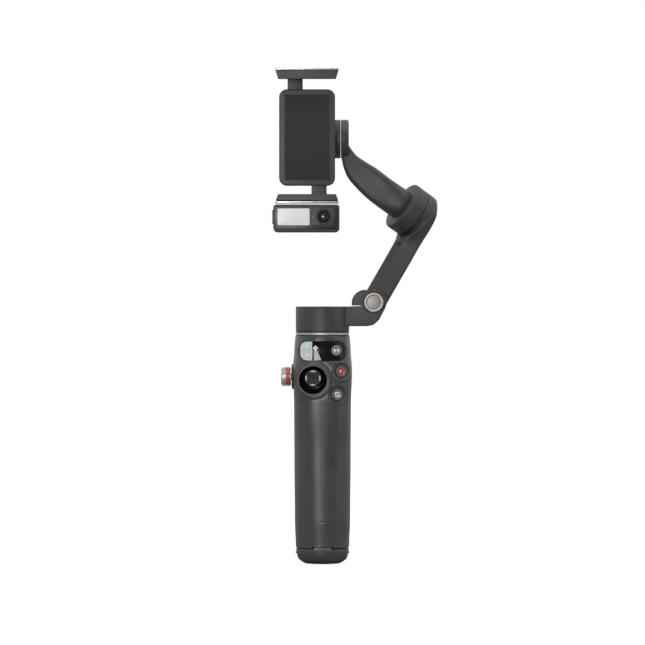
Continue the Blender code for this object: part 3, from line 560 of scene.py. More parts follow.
GRAIN = moulded_grain()
BRUSHED = brushed_lines()
RINGS = turned_rings()


# ---- finishes -----------------------------------------------------------------------------


def finish(name, group, values, bump=0.0, depth=0.00002, centre=(0, 0, 0), axis=Z_AXIS, **constants):
    """A material from a shared effect; the constants sit on the shader's own sockets."""
    material = bpy.data.materials.new(name)
    material.use_nodes = True
    nodes = material.node_tree.nodes
    links = material.node_tree.links
    shader = nodes["Principled BSDF"]
    place = nodes.new("ShaderNodeTexCoord")
    turn = nodes.new("ShaderNodeMapping")
    turn.vector_type = "TEXTURE"
    turn.inputs["Location"].default_value = Vector(centre) * MM
    turn.inputs["Rotation"].default_value = Vector(axis).to_track_quat("Z", "Y").to_euler()
    links.new(place.outputs["Object"], turn.inputs["Vector"])
    source = nodes.new("ShaderNodeGroup")
    source.node_tree = group
    links.new(turn.outputs["Vector"], source.inputs["Vector"])
    for label, value in values.items():
        is_color = label.endswith("Color")
        source.inputs[label].default_value = (*value, 1.0) if is_color else value
    links.new(source.outputs["Color"], shader.inputs["Base Color"])
    links.new(source.outputs["Roughness"], shader.inputs["Roughness"])
    if bump > 0:
        relief = nodes.new("ShaderNodeBump")
        relief.inputs["Strength"].default_value = bump
        relief.inputs["Distance"].default_value = depth
        links.new(source.outputs["Height"], relief.inputs["Height"])
        links.new(relief.outputs["Normal"], shader.inputs["Normal"])
    for label, value in constants.items():
        shader.inputs[label.replace("_", " ")].default_value = value
    return material


def moulded(name, colour, worn=None, grain=3500.0, rough=0.5, rough_spread=0.2, bump=0.2, **more):
    worn = worn or tuple(channel * 1.25 for channel in colour)
    values = {
        "Base Color": colour, "Worn Color": worn, "Grain Scale": grain, "Mottle Scale": 90.0,
        "Roughness": rough, "Roughness Spread": rough_spread,
    }
    return finish(name, GRAIN, values, bump, **more)


def turned_metal(name, colour, centre, axis, light=None, rough=0.3, ring_scale=4000.0, **more):
    light = light or tuple(min(channel * 1.2, 1.0) for channel in colour)
    values = {
        "Base Color": colour, "Light Color": light, "Ring Scale": ring_scale,
        "Roughness": rough, "Roughness Spread": 0.25,
    }
    return finish(name, RINGS, values, 0.25, 0.00001, centre, axis, Metallic=1.0, **more)


def brushed_metal(name, colour, stretch, rough=0.3, **more):
    values = {
        "Base Color": colour, "Light Color": tuple(min(channel * 1.2, 1.0) for channel in colour),
        "Stretch": stretch, "Line Scale": 60.0, "Roughness": rough, "Roughness Spread": 0.3,
    }
    return finish(name, BRUSHED, values, 0.08, 0.00001, Metallic=1.0, **more)


# ---- settings -----------------------------------------------------------------------------


class GimbalFinishes(bpy.types.PropertyGroup):
    """Colours of the main finishes."""

    grip: bpy.props.FloatVectorProperty(
        name="Grip", description="Soft-touch handle and its buttons", subtype="COLOR",
        size=3, min=0.0, max=1.0, default=(0.038, 0.0385, 0.040),
    )
    paint: bpy.props.FloatVectorProperty(
        name="Arm paint", description="Satin paint of the arms, motors and clamp", subtype="COLOR",
        size=3, min=0.0, max=1.0, default=(0.028, 0.0283, 0.029),
    )
    black: bpy.props.FloatVectorProperty(
        name="Black", description="Gloss black of the stick's bowl and the display", subtype="COLOR",
        size=3, min=0.0, max=1.0, default=(0.004, 0.004, 0.0045),
    )
    metal: bpy.props.FloatVectorProperty(
        name="Bright metal", description="Champagne aluminium trims", subtype="COLOR",
        size=3, min=0.0, max=1.0, default=(0.62, 0.58, 0.54),
    )
    accent: bpy.props.FloatVectorProperty(
        name="Accent", description="Red of the record button and the wheel's ring", subtype="COLOR",
        size=3, min=0.0, max=1.0, default=(0.55, 0.02, 0.02),
    )


class GimbalSizes(bpy.types.PropertyGroup):
    """Sizes of the finishing details, in millimetres."""

    seam: bpy.props.FloatProperty(
        name="Shell seam", description="Gap between the handle's two shells",
        min=0.02, max=0.5, default=0.12,
    )
    edge: bpy.props.FloatProperty(
        name="Edge rounding", description="Rounding of the arms' edges",
        min=0.1, max=1.5, default=0.8,
    )
    knurls: bpy.props.IntProperty(
        name="Knurls", description="Ribs round the zoom wheel", min=12, max=90, default=40,
    )
    pad_ribs: bpy.props.IntProperty(
        name="Pad ribs", description="Ribs on each clamp pad", min=4, max=40, default=15,
    )


class GimbalStudio(bpy.types.PropertyGroup):
    """Camera and lights."""

    distance: bpy.props.FloatProperty(
        name="Camera distance", description="From the camera to the object", unit="LENGTH",
        min=0.5, max=10.0, default=2.2,
    )
    frame_width: bpy.props.FloatProperty(
        name="Framed width", description="Width that the picture spans at the object", unit="LENGTH",
        min=0.1, max=2.0, default=0.416,
    )
    key_power: bpy.props.FloatProperty(
        name="Key light", description="Power of the large soft lights", unit="POWER",
        min=0.0, max=500.0, default=42.0,
    )
    surround: bpy.props.FloatProperty(
        name="Surround", description="Brightness of the sides and the back of the surround",
        min=0.0, max=3.0, default=1.0,
    )
    front: bpy.props.FloatProperty(
        name="Front", description="Brightness of the surround behind the camera",
        min=0.0, max=3.0, default=0.20,
    )


FINISHES = {}


def settings():
    scene = bpy.context.scene
    return scene.gimbal_finishes, scene.gimbal_sizes, scene.gimbal_studio


def build_finishes():
    """Every material, by name."""
    tones = settings()[0]
    metal = tuple(tones.metal)
    pan = (0, 0, 0)
    FINISHES.update({
        "grip": moulded(
            "soft_grip", tuple(tones.grip), rough=0.36, rough_spread=0.08, bump=0.18, grain=2600.0
        ),
        "grip_light": moulded(
            "soft_grip_rim", tuple(c * 1.5 for c in tones.grip), rough=0.42, bump=0.15
        ),
        "key_grey": moulded("button_grey", (0.14, 0.14, 0.145), rough=0.45, bump=0.1),
        "paint": moulded("arm_paint", tuple(tones.paint), rough=0.50, bump=0.22, grain=3800.0),
        # near-black painted shade, put into seams, gaps, holes and slots where only shade is seen
        "painted_gap_shade": moulded("painted_recess_shade", (0.004, 0.004, 0.004), rough=0.6),
        "black": moulded("black_plastic", (0.008, 0.008, 0.0085), rough=0.35),
        "gloss": moulded(
            "gloss_black", tuple(tones.black), rough=0.16, rough_spread=0.06, bump=0.0,
            Specular_IOR_Level=0.2,
        ),
        "rubber": moulded("rubber", (0.020, 0.020, 0.021), rough=0.75, bump=0.4, grain=1800.0),
        "dash": moulded("marking_grey", (0.42, 0.42, 0.42), rough=0.5),
        "white_mark": moulded("marking_white", (0.75, 0.75, 0.75), rough=0.4, bump=0.0),
        "panel": moulded(
            "lit_panel", (0.40, 0.43, 0.41), (0.37, 0.41, 0.39), rough=0.25, bump=0.0,
            Coat_Weight=0.3, Emission_Color=(0.6, 0.62, 0.6, 1.0), Emission_Strength=0.20,
        ),
        "icon": moulded("panel_icon", (0.42, 0.78, 0.62), rough=0.3, bump=0.0),
        "rim": moulded("stick_rim_grey", (0.095, 0.096, 0.098), rough=0.40, bump=0.1),
        "red": moulded("record_red", tuple(tones.accent), rough=0.25, bump=0.05, Coat_Weight=0.4),
        "knob": turned_metal("knob_metal", tuple(c * 0.62 for c in metal), HINGE, Y_AXIS, rough=0.50),
        "knob_face": turned_metal(
            "knob_face", tuple(c * 0.44 for c in metal), HINGE, Y_AXIS, rough=0.52
        ),
        "collar": turned_metal(
            "collar_metal", tuple(c * 0.72 for c in metal), pan, Z_AXIS, rough=0.55, ring_scale=9000.0
        ),
        "wheel": turned_metal(
            "wheel_metal", (0.48, 0.46, 0.44), node_middle("zoom_wheel"), X_AXIS, rough=0.42
        ),
        "wheel_red": moulded("ring_red", tuple(tones.accent), rough=0.3, Coat_Weight=0.3),
        "trim": brushed_metal("trim_metal", (0.50, 0.49, 0.48), (1, 40, 40), rough=0.30),
        "tube": brushed_metal("tube_metal", (0.16, 0.16, 0.17), (40, 40, 1), rough=0.28),
        "steel": brushed_metal("plain_steel", (0.55, 0.55, 0.56), (30, 30, 1), rough=0.32),
        "plate_steel": turned_metal(
            "plate_steel", (0.42, 0.42, 0.43), node_middle("mount_plate"), Y_AXIS, rough=0.28
        ),
        "screw": moulded("screw_black", (0.03, 0.03, 0.032), rough=0.35, Metallic=1.0),
        "brass": turned_metal("brass", (0.72, 0.50, 0.20), pan, Z_AXIS, rough=0.30),
        "copper": brushed_metal("copper_winding", (0.78, 0.36, 0.16), (3, 3, 60), rough=0.30),
        "board": moulded("board_green", (0.02, 0.12, 0.05), rough=0.3, Coat_Weight=0.5),
        "diffuser": moulded(
            "light_diffuser", (0.80, 0.80, 0.79), (0.76, 0.76, 0.75), grain=1500.0, rough=0.4,
        ),
        "lens": moulded(
            "lens_glass", (0.006, 0.004, 0.006), (0.020, 0.006, 0.008), rough=0.05,
            rough_spread=0.02, bump=0.0, Coat_Weight=1.0, Coat_Roughness=0.02,
        ),
        # dark red painted reflection: the coloured glint that the lens coating shows
        "lens_glint": moulded("lens_painted_glint", (0.16, 0.01, 0.015), rough=0.12, Coat_Weight=1.0),
    })
    plain = {
        "control_board": "board", "battery": "black", "rod_sleeve": "tube", "trigger_pin": "steel",
        "joystick_yoke": "steel", "pan_stator": "copper", "pan_bearing": "steel",
        "pan_shaft": "steel", "pan_magnets": "steel", "roll_stator": "copper",
        "roll_bearing": "steel", "roll_shaft": "steel", "tilt_stator": "copper",
        "clamp_pinion": "brass",
    }
    for node, name in plain.items():
        mesh = frame["nodes"][node].data
        mesh.materials.clear()
        mesh.materials.append(FINISHES[name])


# ---- the handle's form --------------------------------------------------------------------

# height, half width, front depth, rear depth, squareness of the section
HANDLE_STATIONS = (
    (10.3, 17.3, 17.3, 17.3, 2.0),
    (30.0, 17.9, 18.1, 18.6, 2.1),
    (70.0, 18.2, 18.7, 19.4, 2.2),
    (101.0, 18.4, 19.6, 19.6, 2.5),
    (124.5, 19.1, 20.5, 20.4, 3.0),
    (138.0, 18.2, 19.2, 19.0, 2.7),
    (146.5, 17.6, 17.6, 17.6, 2.05),
)
HANDLE_LOW = HANDLE_STATIONS[0][0]
HANDLE_HIGH = HANDLE_STATIONS[-1][0]
SHELL_SPLIT_Y = 8.0
SHELL_WALL = 1.8
ROD_HOLE = 10.7
# x of the near-black bars painted as shade behind the shells' seam
SEAM_SHADE_X = 14.3
STICK_PLACE = node_middle("joystick_bezel").xz
RECORD_PLACE = node_middle("record_button").xz
SWITCH_PLACE = node_middle("switch_button").xz
MODE_PLACE = node_middle("mode_button").xz
DISPLAY_LOW = node_box("display_window")[0].xz
DISPLAY_HIGH = node_box("display_window")[1].xz
DISPLAY_CORNER = 4.5


def handle_section(z):
    """Half width, front depth, rear depth and squareness at a height."""
    z = min(max(z, HANDLE_LOW), HANDLE_HIGH)
    for lower, upper in zip(HANDLE_STATIONS, HANDLE_STATIONS[1:]):
        if z <= upper[0]:
            share = smooth_step(z, lower[0], upper[0])
            return [a + (b - a) * share for a, b in zip(lower[1:], upper[1:])]
    return list(HANDLE_STATIONS[-1][1:])


def front_y(x, z):
    """The Y of the handle's front surface."""
    width, front, _, square = handle_section(z)
    share = min(abs(x) / width, 0.999)
    return -front * (1 - share**square) ** (1 / square)


def display_distance(x, z):
    """How far a place lies outside the display's outline; negative inside."""
    middle = (DISPLAY_LOW + DISPLAY_HIGH) / 2
    half = (DISPLAY_HIGH - DISPLAY_LOW) / 2
    u = abs(x - middle.x) - half.x + DISPLAY_CORNER
    v = abs(z - middle.y) - half.y + DISPLAY_CORNER
    outside = math.hypot(max(u, 0), max(v, 0))
    return outside + min(max(u, v), 0) - DISPLAY_CORNER


def dish(x, z):
    """How far the front surface is drawn in, so that each control sits in a soft hollow."""
    stick = math.hypot(x - STICK_PLACE.x, z - STICK_PLACE.y)
    depth = -0.30 * math.exp(-(((stick - 10.9) / 0.8) ** 2))
    depth += 0.25 * math.exp(-(((stick - 12.6) / 1.0) ** 2))
    for place, radius in ((RECORD_PLACE, 4.2), (SWITCH_PLACE, 4.4)):
        reach = math.hypot(x - place.x, z - place.y)
        depth += 0.75 * (1 - smooth_step(reach, radius - 0.2, radius + 1.7))
        depth -= 0.22 * math.exp(-(((reach - radius - 1.9) / 0.7) ** 2))
    depth += 0.30 * (1 - smooth_step(display_distance(x, z), 0.0, 0.9))
    return depth


def superellipse(z, form, first, last, count):
    """Points on a section between two angles, evenly spaced along it."""
    width, front, rear, square = form
    power = 2 / square
    dense = []
    steps = 360
    for i in range(steps + 1):
        angle = first + (last - first) * i / steps
        cosine = math.cos(angle)
        sine = math.sin(angle)
        depth = rear if sine > 0 else front
        dense.append(Vector((
            width * math.copysign(abs(cosine) ** power, cosine),
            depth * math.copysign(abs(sine) ** power, sine), z,
        )))
    travelled = [0.0]
    for a, b in zip(dense, dense[1:]):
        travelled.append(travelled[-1] + (b - a).length)
    points = []
    k = 0
    for i in range(count):
        wanted = travelled[-1] * i / (count - 1)
        while k < steps - 1 and travelled[k + 1] < wanted:
            k += 1
        span = travelled[k + 1] - travelled[k]
        share = (wanted - travelled[k]) / span if span > 0 else 0.0
        points.append(dense[k].lerp(dense[k + 1], share))
    return points


def shell_row(z, form, front, count):
    """One row of the front or rear shell, from its right seam to its left seam."""
    square = form[3]
    seam = settings()[1].seam / 2
    split = SHELL_SPLIT_Y - seam if front else SHELL_SPLIT_Y + seam
    angle = math.asin(min((split / form[2]) ** (square / 2), 1.0))
    if front:
        return superellipse(z, form, angle, -math.pi - angle, count)
    return superellipse(z, form, angle, math.pi - angle, count)


def shell_body(front, heights, columns):
    """A closed half of the handle: outer face, rounded top, rod hole, inner face, bottom rim."""
    def drawn_in(z, inset):
        width, near, rear, square = handle_section(z)
        return [width - inset, near - inset, rear - inset, square]

    round_hole = [ROD_HOLE, ROD_HOLE, ROD_HOLE, 2.0]
    rows = [shell_row(z, drawn_in(z, 0.0), front, columns) for z in heights]
    if front:
        for row in rows:
            for point in row:
                if point.y < 0:
                    point.y += dish(point.x, point.z)
    for angle in (30, 60, 90):
        turn = math.radians(angle)
        inset = 0.5 * (1 - math.cos(turn))
        top = HANDLE_HIGH - 0.5 + 0.5 * math.sin(turn)
        rows.append(shell_row(top, drawn_in(HANDLE_HIGH, inset), front, columns))
    rows.append(shell_row(HANDLE_HIGH, round_hole, front, columns))
    rows.append(shell_row(HANDLE_HIGH - 1.6, round_hole, front, columns))
    inner = [HANDLE_HIGH - 1.6, 138.0, 124.5, 101.0, 70.0, 40.0, HANDLE_LOW + 0.4]
    rows += [shell_row(z, drawn_in(z, SHELL_WALL), front, columns) for z in inner]
    rows.append(shell_row(HANDLE_LOW, drawn_in(HANDLE_LOW, SHELL_WALL - 0.4), front, columns))
    rows.append(shell_row(HANDLE_LOW, drawn_in(HANDLE_LOW, 0.3), front, columns))
    bm = bmesh.new()
    rings = [[bm.verts.new(point) for point in row] for row in rows]
    skin(bm, rings, closed_rings=False, closed_ends=True)
    for side in (0, -1):
        bm.faces.new([ring[side] for ring in rings])
    return outward(bm)


def control_heights():
    """Rows that are close together where the controls are."""
    low = [HANDLE_LOW + 0.3 + i * 1.5 for i in range(59)]
    middle = [98.5 + i * 0.45 for i in range(106)]
    return low + middle


def front_pin(place, radius, low, high, steps=64):
    """A round cutter or bar through the front, along Y."""
    return slab(circle((place[0], place[1]), radius, steps), low, high, "Y", 0.0)


def display_outline(grow=0.0, steps=8):
    low = (DISPLAY_LOW.x - grow, DISPLAY_LOW.y - grow)
    high = (DISPLAY_HIGH.x + grow, DISPLAY_HIGH.y + grow)
    return rounded_rectangle(low, high, DISPLAY_CORNER + grow, steps)


def over_front(outline, rows, centre):
    """A thin body whose outline is drawn on the handle's front, domed by rows of (scale, lift)."""
    bm = bmesh.new()
    rings = []
    for scale, lift in rows:
        ring = []
        for u, v in outline:
            x = centre[0] + (u - centre[0]) * scale
            z = centre[1] + (v - centre[1]) * scale
            ring.append(bm.verts.new((x, front_y(x, z) - lift, z)))
        rings.append(ring)
    skin(bm, rings)
    for ring in (rings[0], rings[-1]):
        bm.faces.new(ring)
    return outward(bm)


def inlay(outline, low_lift, high_lift):
    """A flat outline cut from a skin that follows the handle's front."""
    us = [u for u, _ in outline]
    vs = [v for _, v in outline]
    columns = 24
    rows = 16
    bm = bmesh.new()
    layers = []
    for lift in (low_lift, high_lift):
        layer = []
        for i in range(rows + 1):
            z = min(vs) - 0.5 + (max(vs) - min(vs) + 1.0) * i / rows
            spots = [min(us) - 0.5 + (max(us) - min(us) + 1.0) * k / columns for k in range(columns + 1)]
            layer.append([bm.verts.new((x, front_y(x, z) - lift, z)) for x in spots])
        layers.append(layer)
        skin(bm, layer, closed_rings=False)
    inside, outside = layers
    skin(bm, [inside[0], outside[0]], closed_rings=False)
    skin(bm, [inside[-1], outside[-1]], closed_rings=False)
    skin(bm, [[r[0] for r in inside], [r[0] for r in outside]], closed_rings=False)
    skin(bm, [[r[-1] for r in inside], [r[-1] for r in outside]], closed_rings=False)
    return combined(slab(outline, -30, -5, "Y", 0.0), [outward(bm)], "INTERSECT")


# ---- operators: handle and controls -------------------------------------------------------


class GIMBAL_OT_finishes(bpy.types.Operator):
    """Build the finishes, and give them to the inner pieces that keep their frame shape"""

    bl_idname = "gimbal.finishes"
    bl_label = "Finishes"

    def execute(self, context):
        build_finishes()
        return {"FINISHED"}


class GIMBAL_OT_handle(bpy.types.Operator):
    """Build the handle's front and rear shells, with their holes and hollows"""

    bl_idname = "gimbal.handle"
    bl_label = "Handle shells"

    def execute(self, context):
        columns = 132
        heights = control_heights()
        front = shell_body(True, heights, columns)
        wheel_low, wheel_high = node_box("wheel_boss")
        boss = slab(circle((0, (wheel_low.z + wheel_high.z) / 2), 8.5, 64), -30, -12.5, "X", 0.0)
        port = slab(rounded_rectangle((-3.4, 100.7), (0.4, 110.3), 1.8), 14.0, 30.0, "X", 0.0)
        notch = bar((-6.6, -30, 5), (6.6, -14, 11.4), 0.0)
        status = slab(rounded_rectangle((-1.1, 26.2), (1.1, 26.8), 0.28), -30, -17.4, "Y", 0.0)
        holes = merged(
            slab(display_outline(0.25), -30, -12.0, "Y", 0.0),
            front_pin(STICK_PLACE, 10.05, -30, -13.5, 96), front_pin(RECORD_PLACE, 4.1, -30, -13.5),
            front_pin(SWITCH_PLACE, 4.3, -30, -13.5), boss, port, notch, status,
        )
        piece("grip_front", cut(front, holes), "handle", FINISHES["grip"], ["front_shell"])
        rear_heights = [HANDLE_LOW + 0.3 + i * 2.2 for i in range(62)]
        rear = shell_body(False, rear_heights, columns)
        slot = slab(rounded_rectangle((-7.1, 109.5), (7.1, 134.6), 1.6), 9.5, 30, "Y", 0.0)
        rear = cut(rear, slot)
        piece("grip_rear", rear, "handle", FINISHES["grip"], ["rear_shell"])
        pivot = joint_point("trigger_pull")
        for side, low, high in (("left", -9.6, -7.7), ("right", 7.7, 9.6)):
            lug = slab(circle((pivot.y, pivot.z), 2.7, 32), low, high, "X", 0.3)
            piece(f"trigger_lug_{side}", lug, "handle", FINISHES["grip"])
        lines = []
        for i in range(16):
            z = 34.0 + i * 3.6
            back = handle_section(z)[2]
            groove = rounded_rectangle((-9.0 + 0.1 * i, z - 0.55), (9.0 - 0.1 * i, z + 0.55), 0.5, 3)
            lines.append(slab(groove, back - 1.35, back + 0.05, "Y", 0.2, 2))
        piece("rear_grip_ribs", merged(*lines), "handle", FINISHES["rubber"])
        # near-black bars inside the shells: painted shade seen through the seam between the two shells
        shade_bars = []
        for middle in (-SEAM_SHADE_X, SEAM_SHADE_X):
            low = (middle - 0.8, SHELL_SPLIT_Y - 0.8, 12.0)
            high = (middle + 0.8, SHELL_SPLIT_Y + 0.8, 143.0)
            shade_bars.append(bar(low, high, 0.2))
        piece("seam_shade_bars", merged(*shade_bars), "handle", FINISHES["painted_gap_shade"])
        glow = slab(rounded_rectangle((-1.0, 26.3), (1.0, 26.7), 0.18), -17.9, -17.0, "Y", 0.1)
        piece("status_light", glow, "handle", FINISHES["dash"])
        return {"FINISHED"}


class GIMBAL_OT_display(bpy.types.Operator):
    """Build the display's glass with its lit panel, direction mark and icons"""

    bl_idname = "gimbal.display"
    bl_label = "Display"

    def execute(self, context):
        centre = (DISPLAY_LOW + DISPLAY_HIGH) / 2
        scales = (0.03, 0.1, 0.2, 0.3, 0.4, 0.5, 0.6, 0.7, 0.8, 0.9, 0.95)
        rows = [(scale, -2.4) for scale in scales]
        rows += [(0.985, -2.3), (1.0, -2.1), (1.0, -0.50), (0.996, -0.38), (0.985, -0.32)]
        rows += [(scale, -0.30) for scale in reversed(scales)]
        glass = over_front(divided(display_outline(0.0, 10), 0.8), rows, centre)
        glass = cut(glass, front_pin(MODE_PLACE, 3.65, -30, -13))
        piece("display_glass", glass, "handle", FINISHES["gloss"], ["display_window"])
        divider = -6.6
        left = [(divider, DISPLAY_HIGH.y - 0.25)]
        left += [spot for spot in display_outline(-0.25, 10) if spot[0] < divider]
        left += [(divider, DISPLAY_LOW.y + 0.25)]
        piece("lit_panel", inlay(left, -0.60, -0.27), "handle", FINISHES["panel"])
        marks = []
        for u, v, half, high in ((-9.9, 139.3, 0.85, 1.1), (-9.9, 134.5, 1.0, 0.7)):
            mark = rounded_rectangle((u - half, v - high), (u + half, v + high), 0.3, 3)
            marks.append(inlay(mark, -0.5, -0.25))
        piece("panel_icons", merged(*marks), "handle", FINISHES["icon"])
        beam = [(-5.45, 131.0), (-0.75, 131.0), (-3.6, 137.2), (-5.0, 137.6)]
        piece("direction_beam", inlay(beam, -0.50, -0.27), "handle", FINISHES["dash"])
        diamond = [(-4.5, 137.1), (-3.1, 138.9), (-4.5, 140.5), (-5.9, 138.9)]
        hole = [(-4.5, 138.3), (-4.0, 138.9), (-4.5, 139.4), (-5.0, 138.9)]
        pin = cut(inlay(diamond, -0.50, -0.26), slab(hole, -30, -5, "Y", 0.0))
        piece("direction_pin", pin, "handle", FINISHES["white_mark"])
        return {"FINISHED"}


def button(name, node, radius, body, finish_name, cup=0.25):
    """A round button with a slightly cupped face and a rounded edge."""
    low, high = node_box(node)
    middle = node_middle(node)
    depth = high.y - low.y
    profile = [
        (0, cup), (radius * 0.35, cup * 0.85), (radius * 0.65, cup * 0.35), (radius - 0.9, 0.03),
        (radius - 0.6, 0.0), (radius - 0.35, 0.05), (radius - 0.12, 0.2), (radius, 0.5),
        (radius, depth), (0, depth),
    ]
    cap = lathe(profile, (middle.x, low.y, middle.z), Y_AXIS, 72)
    piece(name, cap, body, FINISHES[finish_name], [node])
    return Vector((middle.x, low.y, middle.z))


class GIMBAL_OT_buttons(bpy.types.Operator):
    """Build the mode, record and switch buttons with their marks"""

    bl_idname = "gimbal.buttons"
    bl_label = "Buttons"

    def execute(self, context):
        face = button("mode_cap", "mode_button", 3.4, "mode_button", "key_grey", 0.12)
        halves = []
        for side in (-1, 1):
            glyph = [
                (face.x + side * 0.15, face.z), (face.x + side * 1.5, face.z + 1.25),
                (face.x + side * 1.5, face.z - 1.25),
            ]
            halves.append(slab(glyph, face.y - 0.05, face.y + 0.4, "Y", 0.05, 1))
        piece("mode_mark", merged(*halves), "mode_button", FINISHES["white_mark"])
        face = button("record_cap", "record_button", 3.7, "record_button", "grip_light")
        dot = [(0, -0.16), (0.8, -0.12), (1.35, 0.0), (1.62, 0.12), (1.7, 0.35), (1.7, 0.8), (0, 0.8)]
        dome = lathe(dot, (face.x, face.y + 0.05, face.z), Y_AXIS, 48)
        piece("record_dot", dome, "record_button", FINISHES["red"])
        face = button("switch_cap", "switch_button", 3.9, "switch_button", "grip_light")
        loops = []
        for turn in (0, 180):
            outer = arc((face.x, face.z), 1.75, turn + 20, turn + 150, 14)
            inner = arc((face.x, face.z), 1.25, turn + 150, turn + 20, 14)
            loops.append(slab(outer + inner, face.y - 0.02, face.y + 0.5, "Y", 0.05, 1))
            tip = math.radians(turn + 165)
            across = Vector((math.cos(tip), math.sin(tip)))
            along = Vector((-across.y, across.x))
            middle = Vector((face.x, face.z))
            root = middle + across * 1.5 - along * 0.55
            arrow = [root + across * 0.75, root - across * 0.75, root + along * 1.1]
            loops.append(slab([tuple(p) for p in arrow], face.y - 0.02, face.y + 0.5, "Y", 0.05, 1))
        box_mark = rounded_rectangle((face.x - 0.5, face.z - 0.4), (face.x + 0.5, face.z + 0.4), 0.12, 2)
        loops.append(slab(box_mark, face.y + 0.02, face.y + 0.5, "Y", 0.05, 1))
        piece("switch_mark", merged(*loops), "switch_button", FINISHES["white_mark"])
        return {"FINISHED"}


class GIMBAL_OT_joystick(bpy.types.Operator):
    """Build the stick's rim, bowl and cap with its four dashes"""

    bl_idname = "gimbal.joystick"
    bl_label = "Joystick"

    def execute(self, context):
        low = node_box("joystick_bezel")[0]
        place = (STICK_PLACE.x, low.y, STICK_PLACE.y)
        rim = [
            (8.9, 0.9), (8.95, 0.35), (9.15, 0.08), (9.5, 0.0), (9.8, 0.12), (9.98, 0.4), (9.98, 3.0),
            (9.2, 3.0), (9.0, 1.8),
        ]
        piece("stick_rim", lathe(rim, place, Y_AXIS, 128), "handle", FINISHES["rim"])
        bowl = [
            (8.95, 0.8), (8.85, 1.1), (8.3, 2.4), (7.2, 3.3), (5.8, 3.75), (4.6, 3.85), (4.5, 4.1),
            (4.5, 5.0), (9.0, 5.0), (9.0, 1.9),
        ]
        piece(
            "stick_bowl", lathe(bowl, place, Y_AXIS, 128), "handle", FINISHES["gloss"],
            ["joystick_bezel"],
        )
        front = node_box("joystick_cap")[0].y
        cap = [
            (0, 0.75), (1.2, 0.70), (2.4, 0.52), (3.3, 0.25), (3.9, 0.08), (4.4, 0.0), (4.9, 0.10),
            (5.25, 0.45), (5.35, 1.0), (5.2, 1.6), (4.6, 2.0), (2.6, 2.3), (2.2, 3.0), (2.2, 8.5),
            (0, 8.5),
        ]
        top = (STICK.x, front, STICK.z)
        piece(
            "stick_cap_top", lathe(cap, top, Y_AXIS, 96), "stick_cap", FINISHES["rubber"],
            ["joystick_cap"],
        )
        dash = loft([
            [(4.85 * math.cos(a), 4.85 * math.sin(a), 0.0), (4.0 * math.cos(a), 4.0 * math.sin(a), 0.0),
             (4.0 * math.cos(a), 4.0 * math.sin(a), 0.4), (4.85 * math.cos(a), 4.85 * math.sin(a), 0.4)]
            for a in [math.radians(-20 + 5 * i) for i in range(9)]
        ])
        dashes = repeated(dash, ROUND_REPEAT, FINISHES["dash"], Count=4, Radius=0.0001)
        dashes.transform(axis_matrix((STICK.x, front - 0.04, STICK.z), Y_AXIS))
        piece("stick_dashes", dashes, "stick_cap", FINISHES["dash"])
        bumps = []
        for count, radius, depth in ((6, 0.75, 0.58), (12, 1.5, 0.42), (18, 2.25, 0.18)):
            bump = lathe([(0, 0), (0.16, 0.04), (0.22, 0.16), (0.22, 0.4), (0, 0.4)], steps=10)
            made = repeated(bump, ROUND_REPEAT, FINISHES["rubber"], Count=count, Radius=radius)
            made.transform(axis_matrix((STICK.x, front + depth, STICK.z), Y_AXIS))
            bumps.append(made)
        piece("stick_grip_dots", merged(*bumps), "stick_cap", FINISHES["rubber"])
        return {"FINISHED"}


class GIMBAL_OT_zoom_wheel(bpy.types.Operator):
    """Build the side wheel with its knurls and red ring, and the boss that it stands on"""

    bl_idname = "gimbal.zoom_wheel"
    bl_label = "Zoom wheel"

    def execute(self, context):
        low, _ = node_box("zoom_wheel")
        middle = node_middle("wheel_boss")
        start = (low.x, 0.0, middle.z)
        core = [
            (0, 0.45), (2.6, 0.35), (3.1, 0.0), (5.1, 0.0), (5.55, 0.18), (5.75, 0.55), (5.8, 3.4),
            (5.3, 3.55), (5.3, 5.35), (5.8, 5.5), (5.95, 5.7), (5.95, 6.2), (5.8, 6.4), (2.0, 6.4),
            (2.0, 13.9), (0, 13.9),
        ]
        piece(
            "wheel_core", lathe(core, start, X_AXIS, 96), "zoom_wheel", FINISHES["wheel"],
            ["zoom_wheel"],
        )
        count = settings()[1].knurls
        rib = bar((-0.26, -0.30, 0.0), (0.26, 0.30, 2.75), 0.12, 2)
        ribs = repeated(rib, ROUND_REPEAT, FINISHES["wheel"], Count=count, Radius=5.92)
        ribs.transform(axis_matrix((low.x + 0.6, 0, middle.z), X_AXIS))
        piece("wheel_knurls", ribs, "zoom_wheel", FINISHES["wheel"])
        ring = [(5.35, 0.05), (5.9, 0.0), (6.15, 0.2), (6.15, 1.5), (5.9, 1.7), (5.35, 1.65)]
        piece(
            "wheel_ring", lathe(ring, (low.x + 3.6, 0, middle.z), X_AXIS, 96), "zoom_wheel",
            FINISHES["wheel_red"], ["wheel_red_ring"],
        )
        base_low, base_high = node_box("wheel_boss")
        boss = [
            (2.7, 0.5), (2.9, 0.3), (6.6, 0.25), (7.0, 0.0), (7.5, 0.05), (8.1, 0.6), (8.3, 1.4),
            (8.35, base_high.x - base_low.x), (2.7, base_high.x - base_low.x),
        ]
        body = lathe(boss, steps=96)
        body.transform(Matrix.Diagonal((1.0, 0.86, 1.0, 1.0)))
        body.transform(Matrix(((0, 0, 1, base_low.x), (0, 1, 0, 0), (1, 0, 0, middle.z), (0, 0, 0, 1))))
        piece("wheel_seat", outward(body), "handle", FINISHES["rubber"], ["wheel_boss"])
        return {"FINISHED"}


